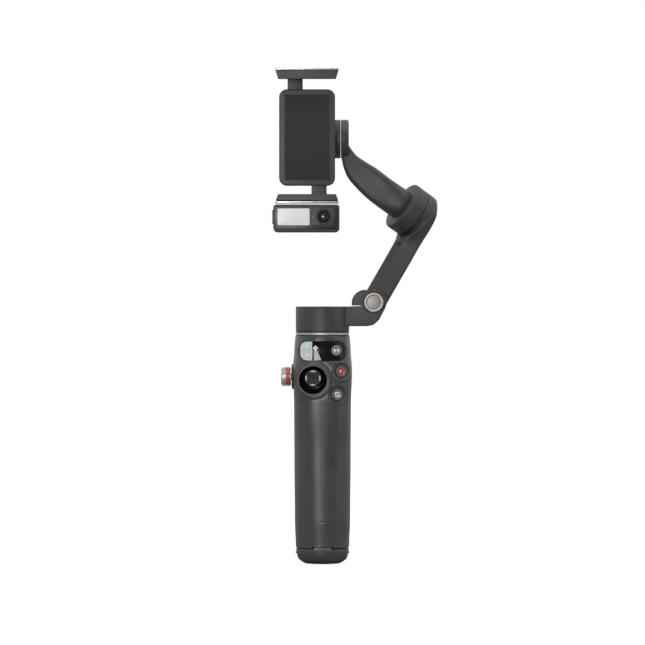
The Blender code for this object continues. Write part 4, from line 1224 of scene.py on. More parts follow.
class GIMBAL_OT_trigger(bpy.types.Operator):
    """Build the trigger at the back and the charging port at the side"""

    bl_idname = "gimbal.trigger"
    bl_label = "Trigger and port"

    def execute(self, context):
        pivot = joint_point("trigger_pull")
        y, z = pivot.y, pivot.z
        outline = arc((y, z), 2.2, 60, 200, 10) + filleted([
            (y + 0.2, z - 10.0, 0), (y + 2.8, z - 19.8, 0.8), (y + 6.2, z - 20.5, 1.0),
            (y + 7.1, z - 18.0, 1.2), (y + 5.4, z - 11.0, 3.0), (y + 4.6, z - 4.0, 3.0),
            (y + 3.0, z - 0.4, 1.0),
        ], closed=False)
        lever = slab(outline, -6.7, 6.7, "X", 0.9, 4)
        bore = slab(circle((y, z), 1.5, 24), -8, 8, "X", 0.0)
        piece(
            "trigger_lever", cut(lever, bore), "trigger", FINISHES["black"], ["trigger"]
        )
        rib = bar((-4.6, -0.22, -0.22), (4.6, 0.22, 0.22), 0.15, 2)
        ribs = repeated(rib, LINE_REPEAT, FINISHES["black"], Count=7, Step=(0.0, 0.12, -1.5))
        ribs.transform(Matrix.Translation((0, y + 4.75, z - 5.0)))
        piece("trigger_ribs", ribs, "trigger", FINISHES["rubber"])
        low, high = node_box("usb_port")
        outer = rounded_rectangle((low.y, low.z), (high.y, high.z), 1.6, 8)
        inner = rounded_rectangle((low.y + 0.5, low.z + 0.5), (high.y - 0.5, high.z - 0.5), 1.1, 8)
        can = cut(slab(outer, low.x, high.x, "X", 0.15), slab(inner, low.x + 1.2, high.x + 2, "X", 0.0))
        piece("port_can", can, "handle", FINISHES["steel"], ["usb_port"])
        middle = (low + high) / 2
        tongue_low = (low.x + 1.0, middle.y - 0.35, low.z + 1.4)
        tongue = bar(tongue_low, (high.x - 1.0, middle.y + 0.35, high.z - 1.4), 0.2)
        piece("port_tongue", tongue, "handle", FINISHES["black"])
        return {"FINISHED"}


# ---- operators: rod and tripod ------------------------------------------------------------


class GIMBAL_OT_rod(bpy.types.Operator):
    """Build the four tubes of the telescopic rod, each with a lip at its top"""

    bl_idname = "gimbal.rod"
    bl_label = "Telescopic rod"

    def execute(self, context):
        for step, body in enumerate(("rod_1", "rod_2", "rod_3", "rod_head"), 1):
            node = f"rod_tube_{step}"
            low, high = node_box(node)
            radius = high.x
            inner = radius - 0.58
            tall = high.z - low.z
            tube = [
                (inner, 0.1), (inner + 0.1, 0.0), (radius - 0.1, 0.0), (radius, 0.1),
                (radius, tall - 1.9), (radius - 0.12, tall - 1.8), (radius - 0.12, tall - 1.3),
                (radius, tall - 1.2), (radius, tall - 0.15), (radius - 0.15, tall),
                (inner + 0.12, tall), (inner, tall - 0.12),
            ]
            piece(
                f"rod_stage_{step}", lathe(tube, (0, 0, low.z), Z_AXIS, 96), body, FINISHES["tube"],
                [node],
            )
        return {"FINISHED"}


def sector(profile, middle_angle, half_angle, gap, steps=40):
    """A wedge of a turned shape about Z, with flat sides drawn in by a gap."""
    bm = bmesh.new()
    rings = []
    for radius, height in profile:
        trim = math.asin(min(gap / radius, 1.0))
        first = math.radians(middle_angle - half_angle) + trim
        last = math.radians(middle_angle + half_angle) - trim
        turns = [first + (last - first) * i / steps for i in range(steps + 1)]
        rings.append([bm.verts.new((radius * math.cos(t), radius * math.sin(t), height)) for t in turns])
    skin(bm, rings, closed_rings=False, closed_ends=True)
    for side in (0, -1):
        bm.faces.new([ring[side] for ring in rings])
    return outward(bm)


class GIMBAL_OT_tripod(bpy.types.Operator):
    """Build the pull-out tripod: post, socket, carriage, three legs and feet"""

    bl_idname = "gimbal.tripod"
    bl_label = "Tripod"

    def execute(self, context):
        high = node_box("tripod_post")[1].z
        post = [
            (0, 9.5), (4.2, 9.5), (4.2, 0.3), (4.35, 0.0), (4.75, 0.0), (4.9, 0.2), (4.9, high - 0.3),
            (4.6, high), (0, high),
        ]
        piece("foot_post", lathe(post, steps=72), "handle", FINISHES["steel"], ["tripod_post"])
        thread = [(3.85, 0.35), (3.85, 9.1), (3.2, 9.1)]
        pitch = 1.27
        height = 8.9
        while height - pitch > 0.5:
            thread += [(3.2, height), (3.62, height - pitch / 2), (3.2, height - pitch + 0.12)]
            height -= pitch
        thread += [(3.25, 0.6), (3.5, 0.35)]
        insert = lathe(thread, steps=72)
        piece("foot_socket", insert, "handle", FINISHES["brass"], ["socket_insert"])
        joint_names = {"leg_front": -90.0, "leg_right": 30.0, "leg_left": 150.0}
        foot_shape = [
            (5.5, 0.1), (5.6, 0.0), (10.6, 0.0), (11.6, 0.15), (13.0, 0.9), (14.6, 1.9), (15.6, 2.9),
            (16.3, 4.6), (16.75, 6.4), (17.1, 9.2), (17.0, 9.6), (16.7, 9.8), (5.7, 9.8), (5.5, 9.6),
        ]
        pivot = joint_point("leg_front_spread")
        lift = pivot.z
        for name, angle in joint_names.items():
            foot = sector(foot_shape, angle, 60, 0.28)
            rail = cut(
                bar((5.4, -4.5, 6.0), (9.2, 4.5, lift - 4.5), 0.6),
                bar((8.4, -2.6, 14.0), (10.5, 2.6, lift - 8.0), 0.3),
            )
            eye = slab(circle((7.2, lift), 1.65, 32), -2.8, 2.8, "Y", 0.3)
            neck = bar((6.05, -2.7, lift - 7.0), (8.8, 2.7, lift - 0.35), 0.3)
            spin = Matrix.Rotation(math.radians(angle), 4, "Z")
            parts = [rail, neck, eye]
            for part in parts:
                part.transform(spin)
            rail, neck, eye = parts
            piece(f"{name}_bar", union(rail, neck, eye), name, FINISHES["paint"], [name])
            piece(f"{name}_foot", foot, name, FINISHES["grip"])
            if name != "leg_front":
                side = math.copysign(1.0, math.cos(math.radians(angle)))
                nub = lathe([(0, 0), (0.45, 0.05), (0.62, 0.3), (0.62, 1.2), (0, 1.2)], steps=24)
                nub.transform(axis_matrix((side * 17.45, 0, 7.0), (-side, 0, 0)))
                piece(f"{name}_nub", nub, name, FINISHES["grip"])
            pad = sector([(6.6, -0.02), (10.0, -0.02), (10.0, 0.3), (6.6, 0.3)], angle, 42, 0.2, 24)
            pad.transform(Matrix.Translation((0, 0, 0.03)))
            piece(f"{name}_pad", pad, name, FINISHES["rubber"])
        tab = slab(filleted([
            (-6.1, 8.4, 1.0), (6.1, 8.4, 1.0), (5.7, 11.0, 0.9), (-5.7, 11.0, 0.9),
        ]), -17.35, -15.4, "Y", 0.35)
        piece("pull_tab", tab, "leg_front", FINISHES["grip_light"])
        low = node_box("tripod_carriage")
        ring = [
            (5.2, 69.1), (5.3, 69.0), (12.2, 69.0), (12.5, 69.3), (12.5, 71.9), (12.2, 72.2),
            (5.3, 72.2), (5.2, 72.1),
        ]
        hub = lathe(ring, steps=96)
        ears = []
        for angle in joint_names.values():
            spin = Matrix.Rotation(math.radians(angle), 4, "Z")
            for side in (-1, 1):
                edges = sorted((side * 3.1, side * 4.7))
                ear = bar((6.0, edges[0], low[0].z + 0.1), (9.1, edges[1], 70.0), 0.4)
                ear.transform(spin)
                ears.append(ear)
            axle = slab(circle((7.2, lift), 1.15, 24), -3.6, 3.6, "Y", 0.0)
            axle.transform(spin)
            ears.append(axle)
        piece(
            "carriage_hub", union(hub, *ears), "tripod", FINISHES["black"], ["tripod_carriage"],
        )
        return {"FINISHED"}


# ---- operators: head and arms -------------------------------------------------------------


class GIMBAL_OT_head(bpy.types.Operator):
    """Build the rod's head and the bright collar under the pan motor"""

    bl_idname = "gimbal.head"
    bl_label = "Rod head"

    def execute(self, context):
        low, high = node_box("head_base")
        tall = high.z - low.z
        base = [
            (0, 0), (5.8, 0), (5.8, tall - 1.95), (14.6, tall - 1.9), (14.95, tall - 1.6),
            (14.95, tall - 0.2), (14.8, tall), (0, tall),
        ]
        piece(
            "head_plate", lathe(base, (0, 0, low.z), steps=96), "rod_head", FINISHES["paint"],
            ["head_base"],
        )
        low, high = node_box("silver_ring")
        tall = high.z - low.z
        collar = [
            (15.3, 0.1), (15.4, 0.0), (17.0, 0.0), (17.22, 0.22), (17.22, tall - 0.22), (17.0, tall),
            (15.4, tall), (15.3, tall - 0.1),
        ]
        piece(
            "bright_collar", lathe(collar, (0, 0, low.z), steps=160), "rod_head", FINISHES["collar"],
            ["silver_ring"],
        )
        rise = node_box("lower_arm")[0].z - low.z - 0.02
        # near-black rings filling the gaps above and below the collar: painted shade between the parts
        gaps = []
        for bottom, top in ((-0.48, 0.05), (tall - 0.05, rise)):
            ring = [(15.1, bottom), (16.95, bottom), (16.95, top), (15.1, top)]
            gaps.append(lathe(ring, (0, 0, low.z), steps=128))
        piece("collar_gap_shade", merged(*gaps), "rod_head", FINISHES["painted_gap_shade"])
        return {"FINISHED"}


class GIMBAL_OT_lower_arm(bpy.types.Operator):
    """Build the pan motor's cup with the arm that carries the folding hinge"""

    bl_idname = "gimbal.lower_arm"
    bl_label = "Lower arm and hinge"

    def execute(self, context):
        edge = settings()[1].edge
        low = node_box("lower_arm")[0]
        radius = -low.x
        floor = low.z
        top = node_box("pan_shaft")[1].z + 2.1
        inside = radius - 1.8
        cup = [
            (inside, floor + 0.1), (inside + 0.15, floor), (radius - 0.25, floor),
            (radius, floor + 0.25),
            (radius, top - 0.7), (radius - 0.2, top - 0.2), (radius - 0.7, top), (0, top),
            (0, top - 1.8), (inside, top - 1.8),
        ]
        body = lathe(cup, steps=144)
        spot = (HINGE.x, HINGE.z)
        low_front = -8.5
        bottom = 152.7
        outline = filleted([
            (8.0, bottom, 0), (28.0, bottom, 0), (32.6, bottom + 0.6, 6.0), (36.4, bottom + 4.1, 6.0),
        ], closed=False, steps=10) + arc(spot, 8.2, -28, 196, 40) + [(8.0, top - 0.3)]
        ear = slab(outline, low_front, 0.05, "Y", edge, 4)
        rear = slab(
            filleted([
                (8.0, bottom, 0), (24.2, bottom, 1.5), (24.2, top - 0.3, 1.5), (8.0, top - 0.3, 0),
            ]),
            -2.0, 8.2, "Y", 0.7, 3,
        )
        body = union(body, ear, rear)
        hollow = lathe(
            [(0, floor - 2), (inside, floor - 2), (inside, top - 1.8), (0, top - 1.8)], steps=144
        )
        seat = lathe(
            [(0, 0), (7.0, 0), (6.75, 0.5), (6.7, 1.35), (0, 1.35)],
            (HINGE.x, low_front - 0.05, HINGE.z), Y_AXIS, 96,
        )
        bore = slab(circle(spot, 2.8, 32), -9, 2, "Y", 0.0)
        body = cut(body, hollow, seat, bore)
        piece("pan_cup_arm", body, "lower_arm", FINISHES["paint"], ["lower_arm"])
        # a small near-black nub painted as the shade inside a notch on the cup
        hole = lathe([(0, 0), (0.5, 0.02), (0.6, 0.2), (0.6, 0.6), (0, 0.6)], steps=24)
        hole.transform(Matrix.Diagonal((0.8, 1.5, 1.0, 1.0)))
        hole.transform(axis_matrix((8.8, -math.sqrt(radius**2 - 8.8**2) - 0.03, 151.7), (-0.5, 0.86, 0)))
        piece("pan_cup_notch_shade", hole, "lower_arm", FINISHES["painted_gap_shade"])
        knob_low = node_box("fold_knob")[0].y
        disc = [
            (0, 0.35), (4.55, 0.35), (4.75, 0.25), (4.9, 0.05), (5.0, 0.0), (5.75, 0.0), (6.1, 0.15),
            (6.3, 0.5), (6.3, 2.5), (0, 2.5),
        ]
        piece(
            "knob_rim", lathe(disc, (HINGE.x, knob_low, HINGE.z), Y_AXIS, 128), "lower_arm",
            FINISHES["knob"], ["fold_knob"],
        )
        face = [(0, 0.12), (4.0, 0.1), (4.35, 0.2), (4.5, 0.5), (0, 0.5)]
        piece(
            "knob_face", lathe(face, (HINGE.x, knob_low, HINGE.z), Y_AXIS, 96), "lower_arm",
            FINISHES["knob_face"],
        )
        back = node_box("hinge_pin")[1].y
        start = node_box("hinge_pin")[0].y
        long = back - start
        pin = [(0, 0), (2.4, 0), (2.5, 0.1), (2.5, long - 0.3), (2.2, long), (0, long)]
        piece(
            "hinge_axle", lathe(pin, (HINGE.x, start, HINGE.z), Y_AXIS, 64), "lower_arm",
            FINISHES["steel"], ["hinge_pin"],
        )
        return {"FINISHED"}


def bar_outline(half_wide, half_deep, facet, edge, rear_edge):
    """Section of the upper arm: a bar whose front left edge is a wide facet. (side, back)."""
    return filleted([
        (-half_wide, -half_deep + facet, 0.8), (-half_wide + facet, -half_deep, 0.8),
        (half_wide, -half_deep, edge), (half_wide, half_deep, rear_edge),
        (-half_wide, half_deep, rear_edge),
    ], steps=8)


def sampled(outline, count):
    """Points of an outline about its middle, one for each of equal turns."""
    points = []
    size = len(outline)
    for i in range(count):
        angle = math.tau * i / count
        ray = Vector((math.cos(angle), math.sin(angle)))
        best = 0.0
        for k in range(size):
            a = Vector(outline[k])
            b = Vector(outline[(k + 1) % size])
            span = b - a
            cross = ray.x * span.y - ray.y * span.x
            if abs(cross) < 1e-9:
                continue
            reach = (a.x * span.y - a.y * span.x) / cross
            share = (a.x * ray.y - a.y * ray.x) / cross
            if reach > best and -1e-6 <= share <= 1 + 1e-6:
                best = reach
        points.append(ray * best)
    return points


# the upper arm's outer and inner edge, seen from the front, from the bar to the motor's seam:
# outer x, outer z, inner x, inner z, share of the round section, depth middle
ARM_HEAD = (
    (56.7, 193.5, 43.3, 201.3, 0.00, 10.9), (60.4, 200.1, 44.7, 203.7, 0.02, 11.6),
    (64.6, 207.3, 46.0, 206.0, 0.12, 12.6), (68.8, 214.2, 47.2, 208.1, 0.32, 13.6),
    (72.1, 220.9, 48.1, 209.7, 0.58, 14.8), (74.0, 227.0, 48.8, 210.9, 0.82, 16.2),
    (74.55, 231.4, 49.2, 211.6, 0.95, 17.3), (74.2, 234.2, 49.4, 211.9, 1.00, 17.9),
    (72.5, 236.2, 49.5, 212.1, 1.00, 17.4), (70.5, 237.7, 49.55, 212.2, 1.00, 16.4),
    (68.4, 239.15, 49.6, 212.3, 1.00, 15.4),
)


# the head's last stretch before its box's edge is drawn in by this share
FLATTEN_FROM = 0.7
FLATTEN_SHARE = 0.55


class GIMBAL_OT_upper_arm(bpy.types.Operator):
    """Build the leaning upper arm that swells into the roll motor's cap"""

    bl_idname = "gimbal.upper_arm"
    bl_label = "Upper arm"

    def execute(self, context):
        count = 96
        bar_points = sampled(bar_outline(7.72, 6.5, 4.4, 1.4, 3.0), count)
        round_points = sampled(circle((0, 0), 16.4, 180), count)
        round_depth = ROLL_AXIS.cross(Vector((-ROLL_AXIS.z, 0, ROLL_AXIS.x)).normalized())
        round_depth = round_depth if round_depth.y > 0 else -round_depth
        sections = []
        low = Vector((HINGE.x + 1.0, 0, HINGE.z + 1.7))
        lean = Vector((math.cos(math.radians(60)), 0, math.sin(math.radians(60))))
        across = Vector((lean.z, 0, -lean.x))
        run = (Vector((50.0, 0, 197.4)) - low).dot(lean)
        for i in range(8):
            share = i / 8
            middle = low + lean * (run * share) + Vector((0, 6.85 + 4.05 * share, 0))
            sections.append([middle + across * p.x + Y_AXIS * p.y for p in bar_points])
        for outer_x, outer_z, inner_x, inner_z, blend, deep in through(ARM_HEAD, 4):
            outer = Vector((outer_x, deep, outer_z))
            inner = Vector((inner_x, deep, inner_z))
            middle = (outer + inner) / 2
            side = (outer - inner) / 2
            back = (Y_AXIS * (1 - blend) + round_depth * blend).normalized()
            ring = []
            for straight, curved in zip(bar_points, round_points):
                u = straight.x / 7.72 * (1 - blend) + curved.x / 16.4 * blend
                v = straight.y * (1 - blend) + curved.y * blend
                ring.append(middle + side * u + back * v)
            sections.append(ring)
        body = loft(sections)
        front = 0.35
        rear = front + 12.0
        spot = (HINGE.x, HINGE.z)
        knuckle = slab(circle(spot, 8.2, 96), front, rear, "Y", 1.3, 4)
        heel_place = (27.4, 167.7)
        heel = slab(circle(heel_place, 8.5, 96), front + 0.03, rear - 0.03, "Y", 1.3, 4)
        foot = bar((10.0, -1.0, 150.0), (40.0, 20.0, 166.1), 0.0)
        body = union(body, knuckle, cut(heel, foot))
        bore = slab(circle(spot, 2.8, 32), -1.0, 14.0, "Y", 0.0)
        body = cut(body, bore)
        limit = node_box("upper_arm")[1] - Vector((FLATTEN_FROM, FLATTEN_FROM, 0))
        for vertex in body.verts:
            vertex.co.x -= max(vertex.co.x - limit.x, 0.0) * FLATTEN_SHARE
            vertex.co.y -= max(vertex.co.y - limit.y, 0.0) * FLATTEN_SHARE
        piece("upper_arm_body", body, "upper_arm", FINISHES["paint"], ["upper_arm"], 38)
        ring = [(2.8, 0.0), (5.2, 0.0), (5.4, 0.2), (5.4, 0.6), (2.8, 0.6)]
        washer = lathe(ring, (HINGE.x, rear - 0.2, HINGE.z), Y_AXIS, 64)
        piece("hinge_washer", washer, "upper_arm", FINISHES["steel"])
        # a near-black rounded bar painted as the shade inside a slot on the arm's side
        spot = Vector((48.7, 0, 206.4))
        face = -across * 0.75 - Y_AXIS * 0.66
        slot_shade = slab(rounded_rectangle((-1.6, -0.5), (1.6, 0.5), 0.45, 4), -0.3, 0.3, "Z", 0.1, 1)
        out = face.normalized()
        turn = Matrix((out.cross(lean).normalized(), lean, out)).transposed().to_4x4()
        slot_shade.transform(Matrix.Translation(spot + Vector((0, 6.2, 0))) @ turn)
        piece("arm_slot_shade", slot_shade, "upper_arm", FINISHES["painted_gap_shade"])
        return {"FINISHED"}


def roll_point(distance):
    return ROLL_SEAM + ROLL_AXIS * distance


class GIMBAL_OT_roll_motor(bpy.types.Operator):
    """Build the roll motor's cup, and a near-black ring painted as the shade in its seam"""

    bl_idname = "gimbal.roll_motor"
    bl_label = "Roll motor"

    def execute(self, context):
        inner = 14.6
        cup = [
            (inner, 0.1), (inner + 0.15, 0.0), (16.15, 0.0), (16.38, 0.22), (16.4, 8.3), (16.2, 9.1),
            (15.7, 9.6), (14.9, 9.8), (0, 9.8), (0, 8.0), (inner, 8.0),
        ]
        piece(
            "roll_cup_shell", lathe(cup, roll_point(0.45), ROLL_AXIS, 160), "link", FINISHES["paint"],
            ["roll_cup"],
        )
        # near-black ring in the gap between the arm and the cup: painted shade of the seam
        seam = [(13.0, 0.05), (16.0, 0.05), (16.0, 0.42), (13.0, 0.42)]
        ring = lathe(seam, roll_point(0.0), ROLL_AXIS, 128)
        piece("roll_seam_shade", ring, "upper_arm", FINISHES["painted_gap_shade"])
        return {"FINISHED"}


class GIMBAL_OT_link(bpy.types.Operator):
    """Build the link from the roll motor to the tilt motor"""

    bl_idname = "gimbal.link"
    bl_label = "Link arm"

    def execute(self, context):
        count = 72
        across = Vector((ROLL_AXIS.z, 0, -ROLL_AXIS.x)).normalized()
        depth = ROLL_AXIS.cross(across)
        depth = depth if depth.y > 0 else -depth
        start = roll_point(10.55)
        round_points = sampled(circle((0, 0), 1.0, 120), count)
        flat_points = sampled(rounded_rectangle((-1, -1), (1, 1), 0.45, 8), count)
        # middle x, y, z, half width, half depth, direction of the width x, z, share of the flat section
        route = (
            (start.x, start.y, start.z, 9.8, 9.8, across.x, across.z, 0.0),
            (start.x - 2.2, start.y - 0.8, start.z + 1.6, 9.8, 9.4, across.x, across.z, 0.10),
            (44.0, 10.4, 236.2, 9.8, 7.6, 0.575, 0.818, 0.5),
            (36.0, 9.6, 242.0, 9.5, 6.2, 0.62, 0.785, 1.0),
            (28.6, 10.0, 248.4, 9.0, 5.4, 0.72, 0.69, 1.0),
            (22.0, 11.0, 254.5, 7.6, 4.9, 0.80, 0.60, 1.0),
            (17.2, 12.3, 262.0, 4.9, 4.6, 0.95, 0.31, 1.0),
            (14.7, 13.05, 269.4, 2.63, 4.55, 1.0, 0.0, 1.0),
        )
        sections = []
        for x, y, z, wide, deep, side_x, side_z, flat in through(route, 5):
            side = Vector((side_x, 0, side_z)).normalized()
            back = (depth * (1 - flat) + Y_AXIS * flat).normalized()
            ring = []
            for a, b in zip(round_points, flat_points):
                p = a * (1 - flat) + b * flat
                ring.append(Vector((x, y, z)) + side * (p.x * wide) + back * (p.y * deep))
            sections.append(ring)
        body = loft(sections)
        ear_low = node_box("link_arm")[0].x
        ear = lathe([
            (0, 0), (12.1, 0), (12.5, 0.4), (12.5, 3.9), (12.2, 4.6), (11.5, 5.0), (8.5, 5.0),
            (8.2, 4.75), (0, 4.75),
        ], (ear_low, TILT.y, TILT.z), X_AXIS, 128)
        piece("link_body", union(body, ear), "link", FINISHES["paint"], ["link_arm"], 38)
        lid = [(0, 0), (7.6, 0), (8.0, 0.2), (8.0, 0.6), (0, 0.6)]
        cover = lathe(lid, (ear_low + 4.3, TILT.y, TILT.z), X_AXIS, 96)
        piece("link_cover", cover, "link", FINISHES["black"])
        return {"FINISHED"}


class GIMBAL_OT_tilt_motor(bpy.types.Operator):
    """Build the tilt motor's cup, its turning body and the round magnetic plate"""

    bl_idname = "gimbal.tilt_motor"
    bl_label = "Tilt motor and mount plate"

    def execute(self, context):
        low, high = node_box("tilt_cup")
        tall = high.x - low.x
        cup = [
            (10.7, 0.1), (10.9, 0.0), (12.3, 0.0), (12.5, 0.2), (12.5, tall - 0.2), (12.3, tall),
            (0, tall), (0, tall - 1.8), (10.7, tall - 1.8),
        ]
        place = (low.x, TILT.y, TILT.z)
        piece(
            "tilt_cup_shell", lathe(cup, place, X_AXIS, 128), "link", FINISHES["paint"], ["tilt_cup"],
        )
        low = node_box("tilt_rotor")[0]
        rotor = [
            (0, 0.4), (8.0, 0.4), (8.3, 0.0), (11.2, 0.0), (12.1, 0.35), (12.5, 1.2), (12.5, 23.1),
            (12.3, 23.5), (12.0, 23.6), (2.5, 23.6), (2.5, 31.2), (0, 31.2),
        ]
        drum = lathe(rotor, (low.x, TILT.y, TILT.z), X_AXIS, 128)
        # near-black ring filling the gap between the rotor and the cup: painted shade of the seam
        rotor_end = node_box("tilt_rotor")[0].x + 23.6
        gap = place[0] - rotor_end - 0.05
        seam = [(10.9, 0.1), (12.1, 0.1), (12.1, gap), (10.9, gap)]
        ring = lathe(seam, (rotor_end, TILT.y, TILT.z), X_AXIS, 96)
        piece("tilt_seam_shade", ring, "link", FINISHES["painted_gap_shade"])
        plate_low = node_box("mount_plate")[0]
        neck = slab(
            filleted([
                (-20.5, 265.6, 2.0), (0.5, 265.6, 2.0), (0.5, 282.6, 2.0), (-20.5, 282.6, 2.0),
            ], steps=6),
            0.0, TILT.y - 2, "Y", 0.6,
        )
        piece(
            "tilt_drum", union(drum, neck), "phone_mount", FINISHES["paint"], ["tilt_rotor"], 38
        )
        middle = node_middle("mount_plate")
        disc = [
            (0, 0.25), (9.6, 0.25), (9.8, 0.02), (13.1, 0.0), (13.5, 0.3), (13.5, 1.4), (13.3, 1.6),
            (0, 1.6),
        ]
        front = (middle.x, plate_low.y, middle.z)
        piece(
            "magnet_plate", lathe(disc, front, Y_AXIS, 128), "phone_mount", FINISHES["plate_steel"],
            ["mount_plate"],
        )
        magnet = lathe([(0, 0.0), (1.3, 0.0), (1.45, 0.12), (1.45, 0.5), (0, 0.5)], steps=32)
        magnets = repeated(magnet, ROUND_REPEAT, FINISHES["steel"], Count=8, Radius=6.8)
        magnets.transform(axis_matrix((middle.x, plate_low.y + 0.1, middle.z), Y_AXIS))
        piece("plate_magnets", magnets, "phone_mount", FINISHES["steel"])
        return {"FINISHED"}


# ---- operators: clamp and module ----------------------------------------------------------

# the tracking light's x and z on the module's face
TRACKING_PLACE = (-6.2, 222.3)


def ribbed(name, node, body, direction, count, rib_size):
    """A rubber pad with raised ribs that stay inside the frame pad's box."""
    low, high = node_box(node)
    base_low = Vector(low)
    base_high = Vector(high)
    if direction == "front":
        base_low.y += 0.25
        rib = bar((0, low.y, low.z + 1.2), (rib_size, low.y + 0.35, high.z - 1.2), 0.12, 2)
    elif direction == "down":
        base_low.z += 0.22
        rib = bar((0, low.y + 0.5, low.z), (rib_size, high.y - 0.5, low.z + 0.3), 0.1, 2)
    else:
        base_high.z -= 0.22
        rib = bar((0, low.y + 0.5, high.z - 0.3), (rib_size, high.y - 0.5, high.z), 0.1, 2)
    pitch = (high.x - low.x - 2.4 - rib_size) / (count - 1)
    ribs = repeated(rib, LINE_REPEAT, FINISHES["rubber"], Count=count, Step=(pitch, 0.0, 0.0))
    ribs.transform(Matrix.Translation((low.x + 1.2, 0, 0)))
    base = bar(base_low, base_high, 0.15, 2)
    piece(name, merged(base, ribs), body, FINISHES["rubber"], [node])


class GIMBAL_OT_clamp(bpy.types.Operator):
    """Build the phone clamp: body, back pad, two jaws with bright trims and ribbed pads"""

    bl_idname = "gimbal.clamp"
    bl_label = "Clamp"

    def execute(self, context):
        sizes = settings()[1]
        low, high = node_box("clamp_body")
        outline = rounded_rectangle((low.x, low.z), (high.x, high.z), 5.0, 10)
        body = slab(outline, low.y, high.y, "Y", 0.8, 4)
        middle = node_middle("clamp_body")
        slot = bar((middle.x - 12.9, -6.0, 200), (middle.x + 12.9, -3.6, 340), 0.0)
        back = (middle.x, high.y, middle.z)
        recess = [(0, -1), (14.0, -1), (14.0, 0.2), (13.8, 0.35), (0, 0.35)]
        shell = cut(body, slot, lathe(recess, back, -Y_AXIS, 96))
        piece("clamp_shell", shell, "clamp", FINISHES["paint"], ["clamp_body"])
        ring = [(8.0, 0.0), (12.6, 0.0), (12.9, 0.15), (12.9, 0.4), (8.0, 0.4)]
        target = lathe(ring, back, -Y_AXIS, 96)
        piece("clamp_target", target, "clamp", FINISHES["plate_steel"])
        ribbed("back_cushion", "back_pad", "clamp", "front", 14, 0.9)
        rims = {"top": (1, "down"), "bottom": (-1, "up")}
        for name, (up, facing) in rims.items():
            node = f"{name}_jaw"
            jaw_low, jaw_high = node_box(node)
            outer_z = jaw_high.z if up > 0 else jaw_low.z
            pad_low, pad_high = node_box(f"{name}_pad")
            seat_z = pad_high.z + 0.3 if up > 0 else pad_low.z - 0.3
            lip_z = seat_z - up * 2.7
            wide = (jaw_high.x - jaw_low.x) / 2
            x = middle.x
            shelf = slab(filleted([
                (x - wide, outer_z, 0.5), (x + wide, outer_z, 0.5), (x + wide - 1.7, seat_z, 0.3),
                (x - wide + 1.7, seat_z, 0.3),
            ]), jaw_low.y + 0.5, jaw_high.y, "Y", 0.5, 3)
            lip = slab(filleted([
                (x - wide, outer_z, 0.7), (x + wide, outer_z, 0.7), (x + wide - 1.7, lip_z, 0.8),
                (x - wide + 1.7, lip_z, 0.8),
            ]), jaw_low.y, jaw_low.y + 1.3, "Y", 0.45, 3)
            side = (-12.6, -2.8) if up > 0 else (2.8, 12.6)
            end = 256.0 if up > 0 else 292.2
            ends = sorted((end, outer_z - up * 0.5))
            stem = bar((x + side[0], -5.7, ends[0]), (x + side[1], -3.9, ends[1]), 0.25)
            jaw = union(shelf, lip, stem)
            piece(f"{name}_jaw_shell", jaw, node, FINISHES["paint"], [node])
            trim_low, trim_high = node_box(f"{name}_trim")
            trim = slab(
                rounded_rectangle((trim_low.x, trim_low.y), (trim_high.x, trim_high.y), 1.2, 6),
                trim_low.z, trim_high.z, "Z", 0.28, 3,
            )
            piece(
                f"{name}_bright_trim", trim, node, FINISHES["trim"], [f"{name}_trim"]
            )
            ribbed(f"{name}_cushion", f"{name}_pad", node, facing, sizes.pad_ribs, 1.1)
        return {"FINISHED"}


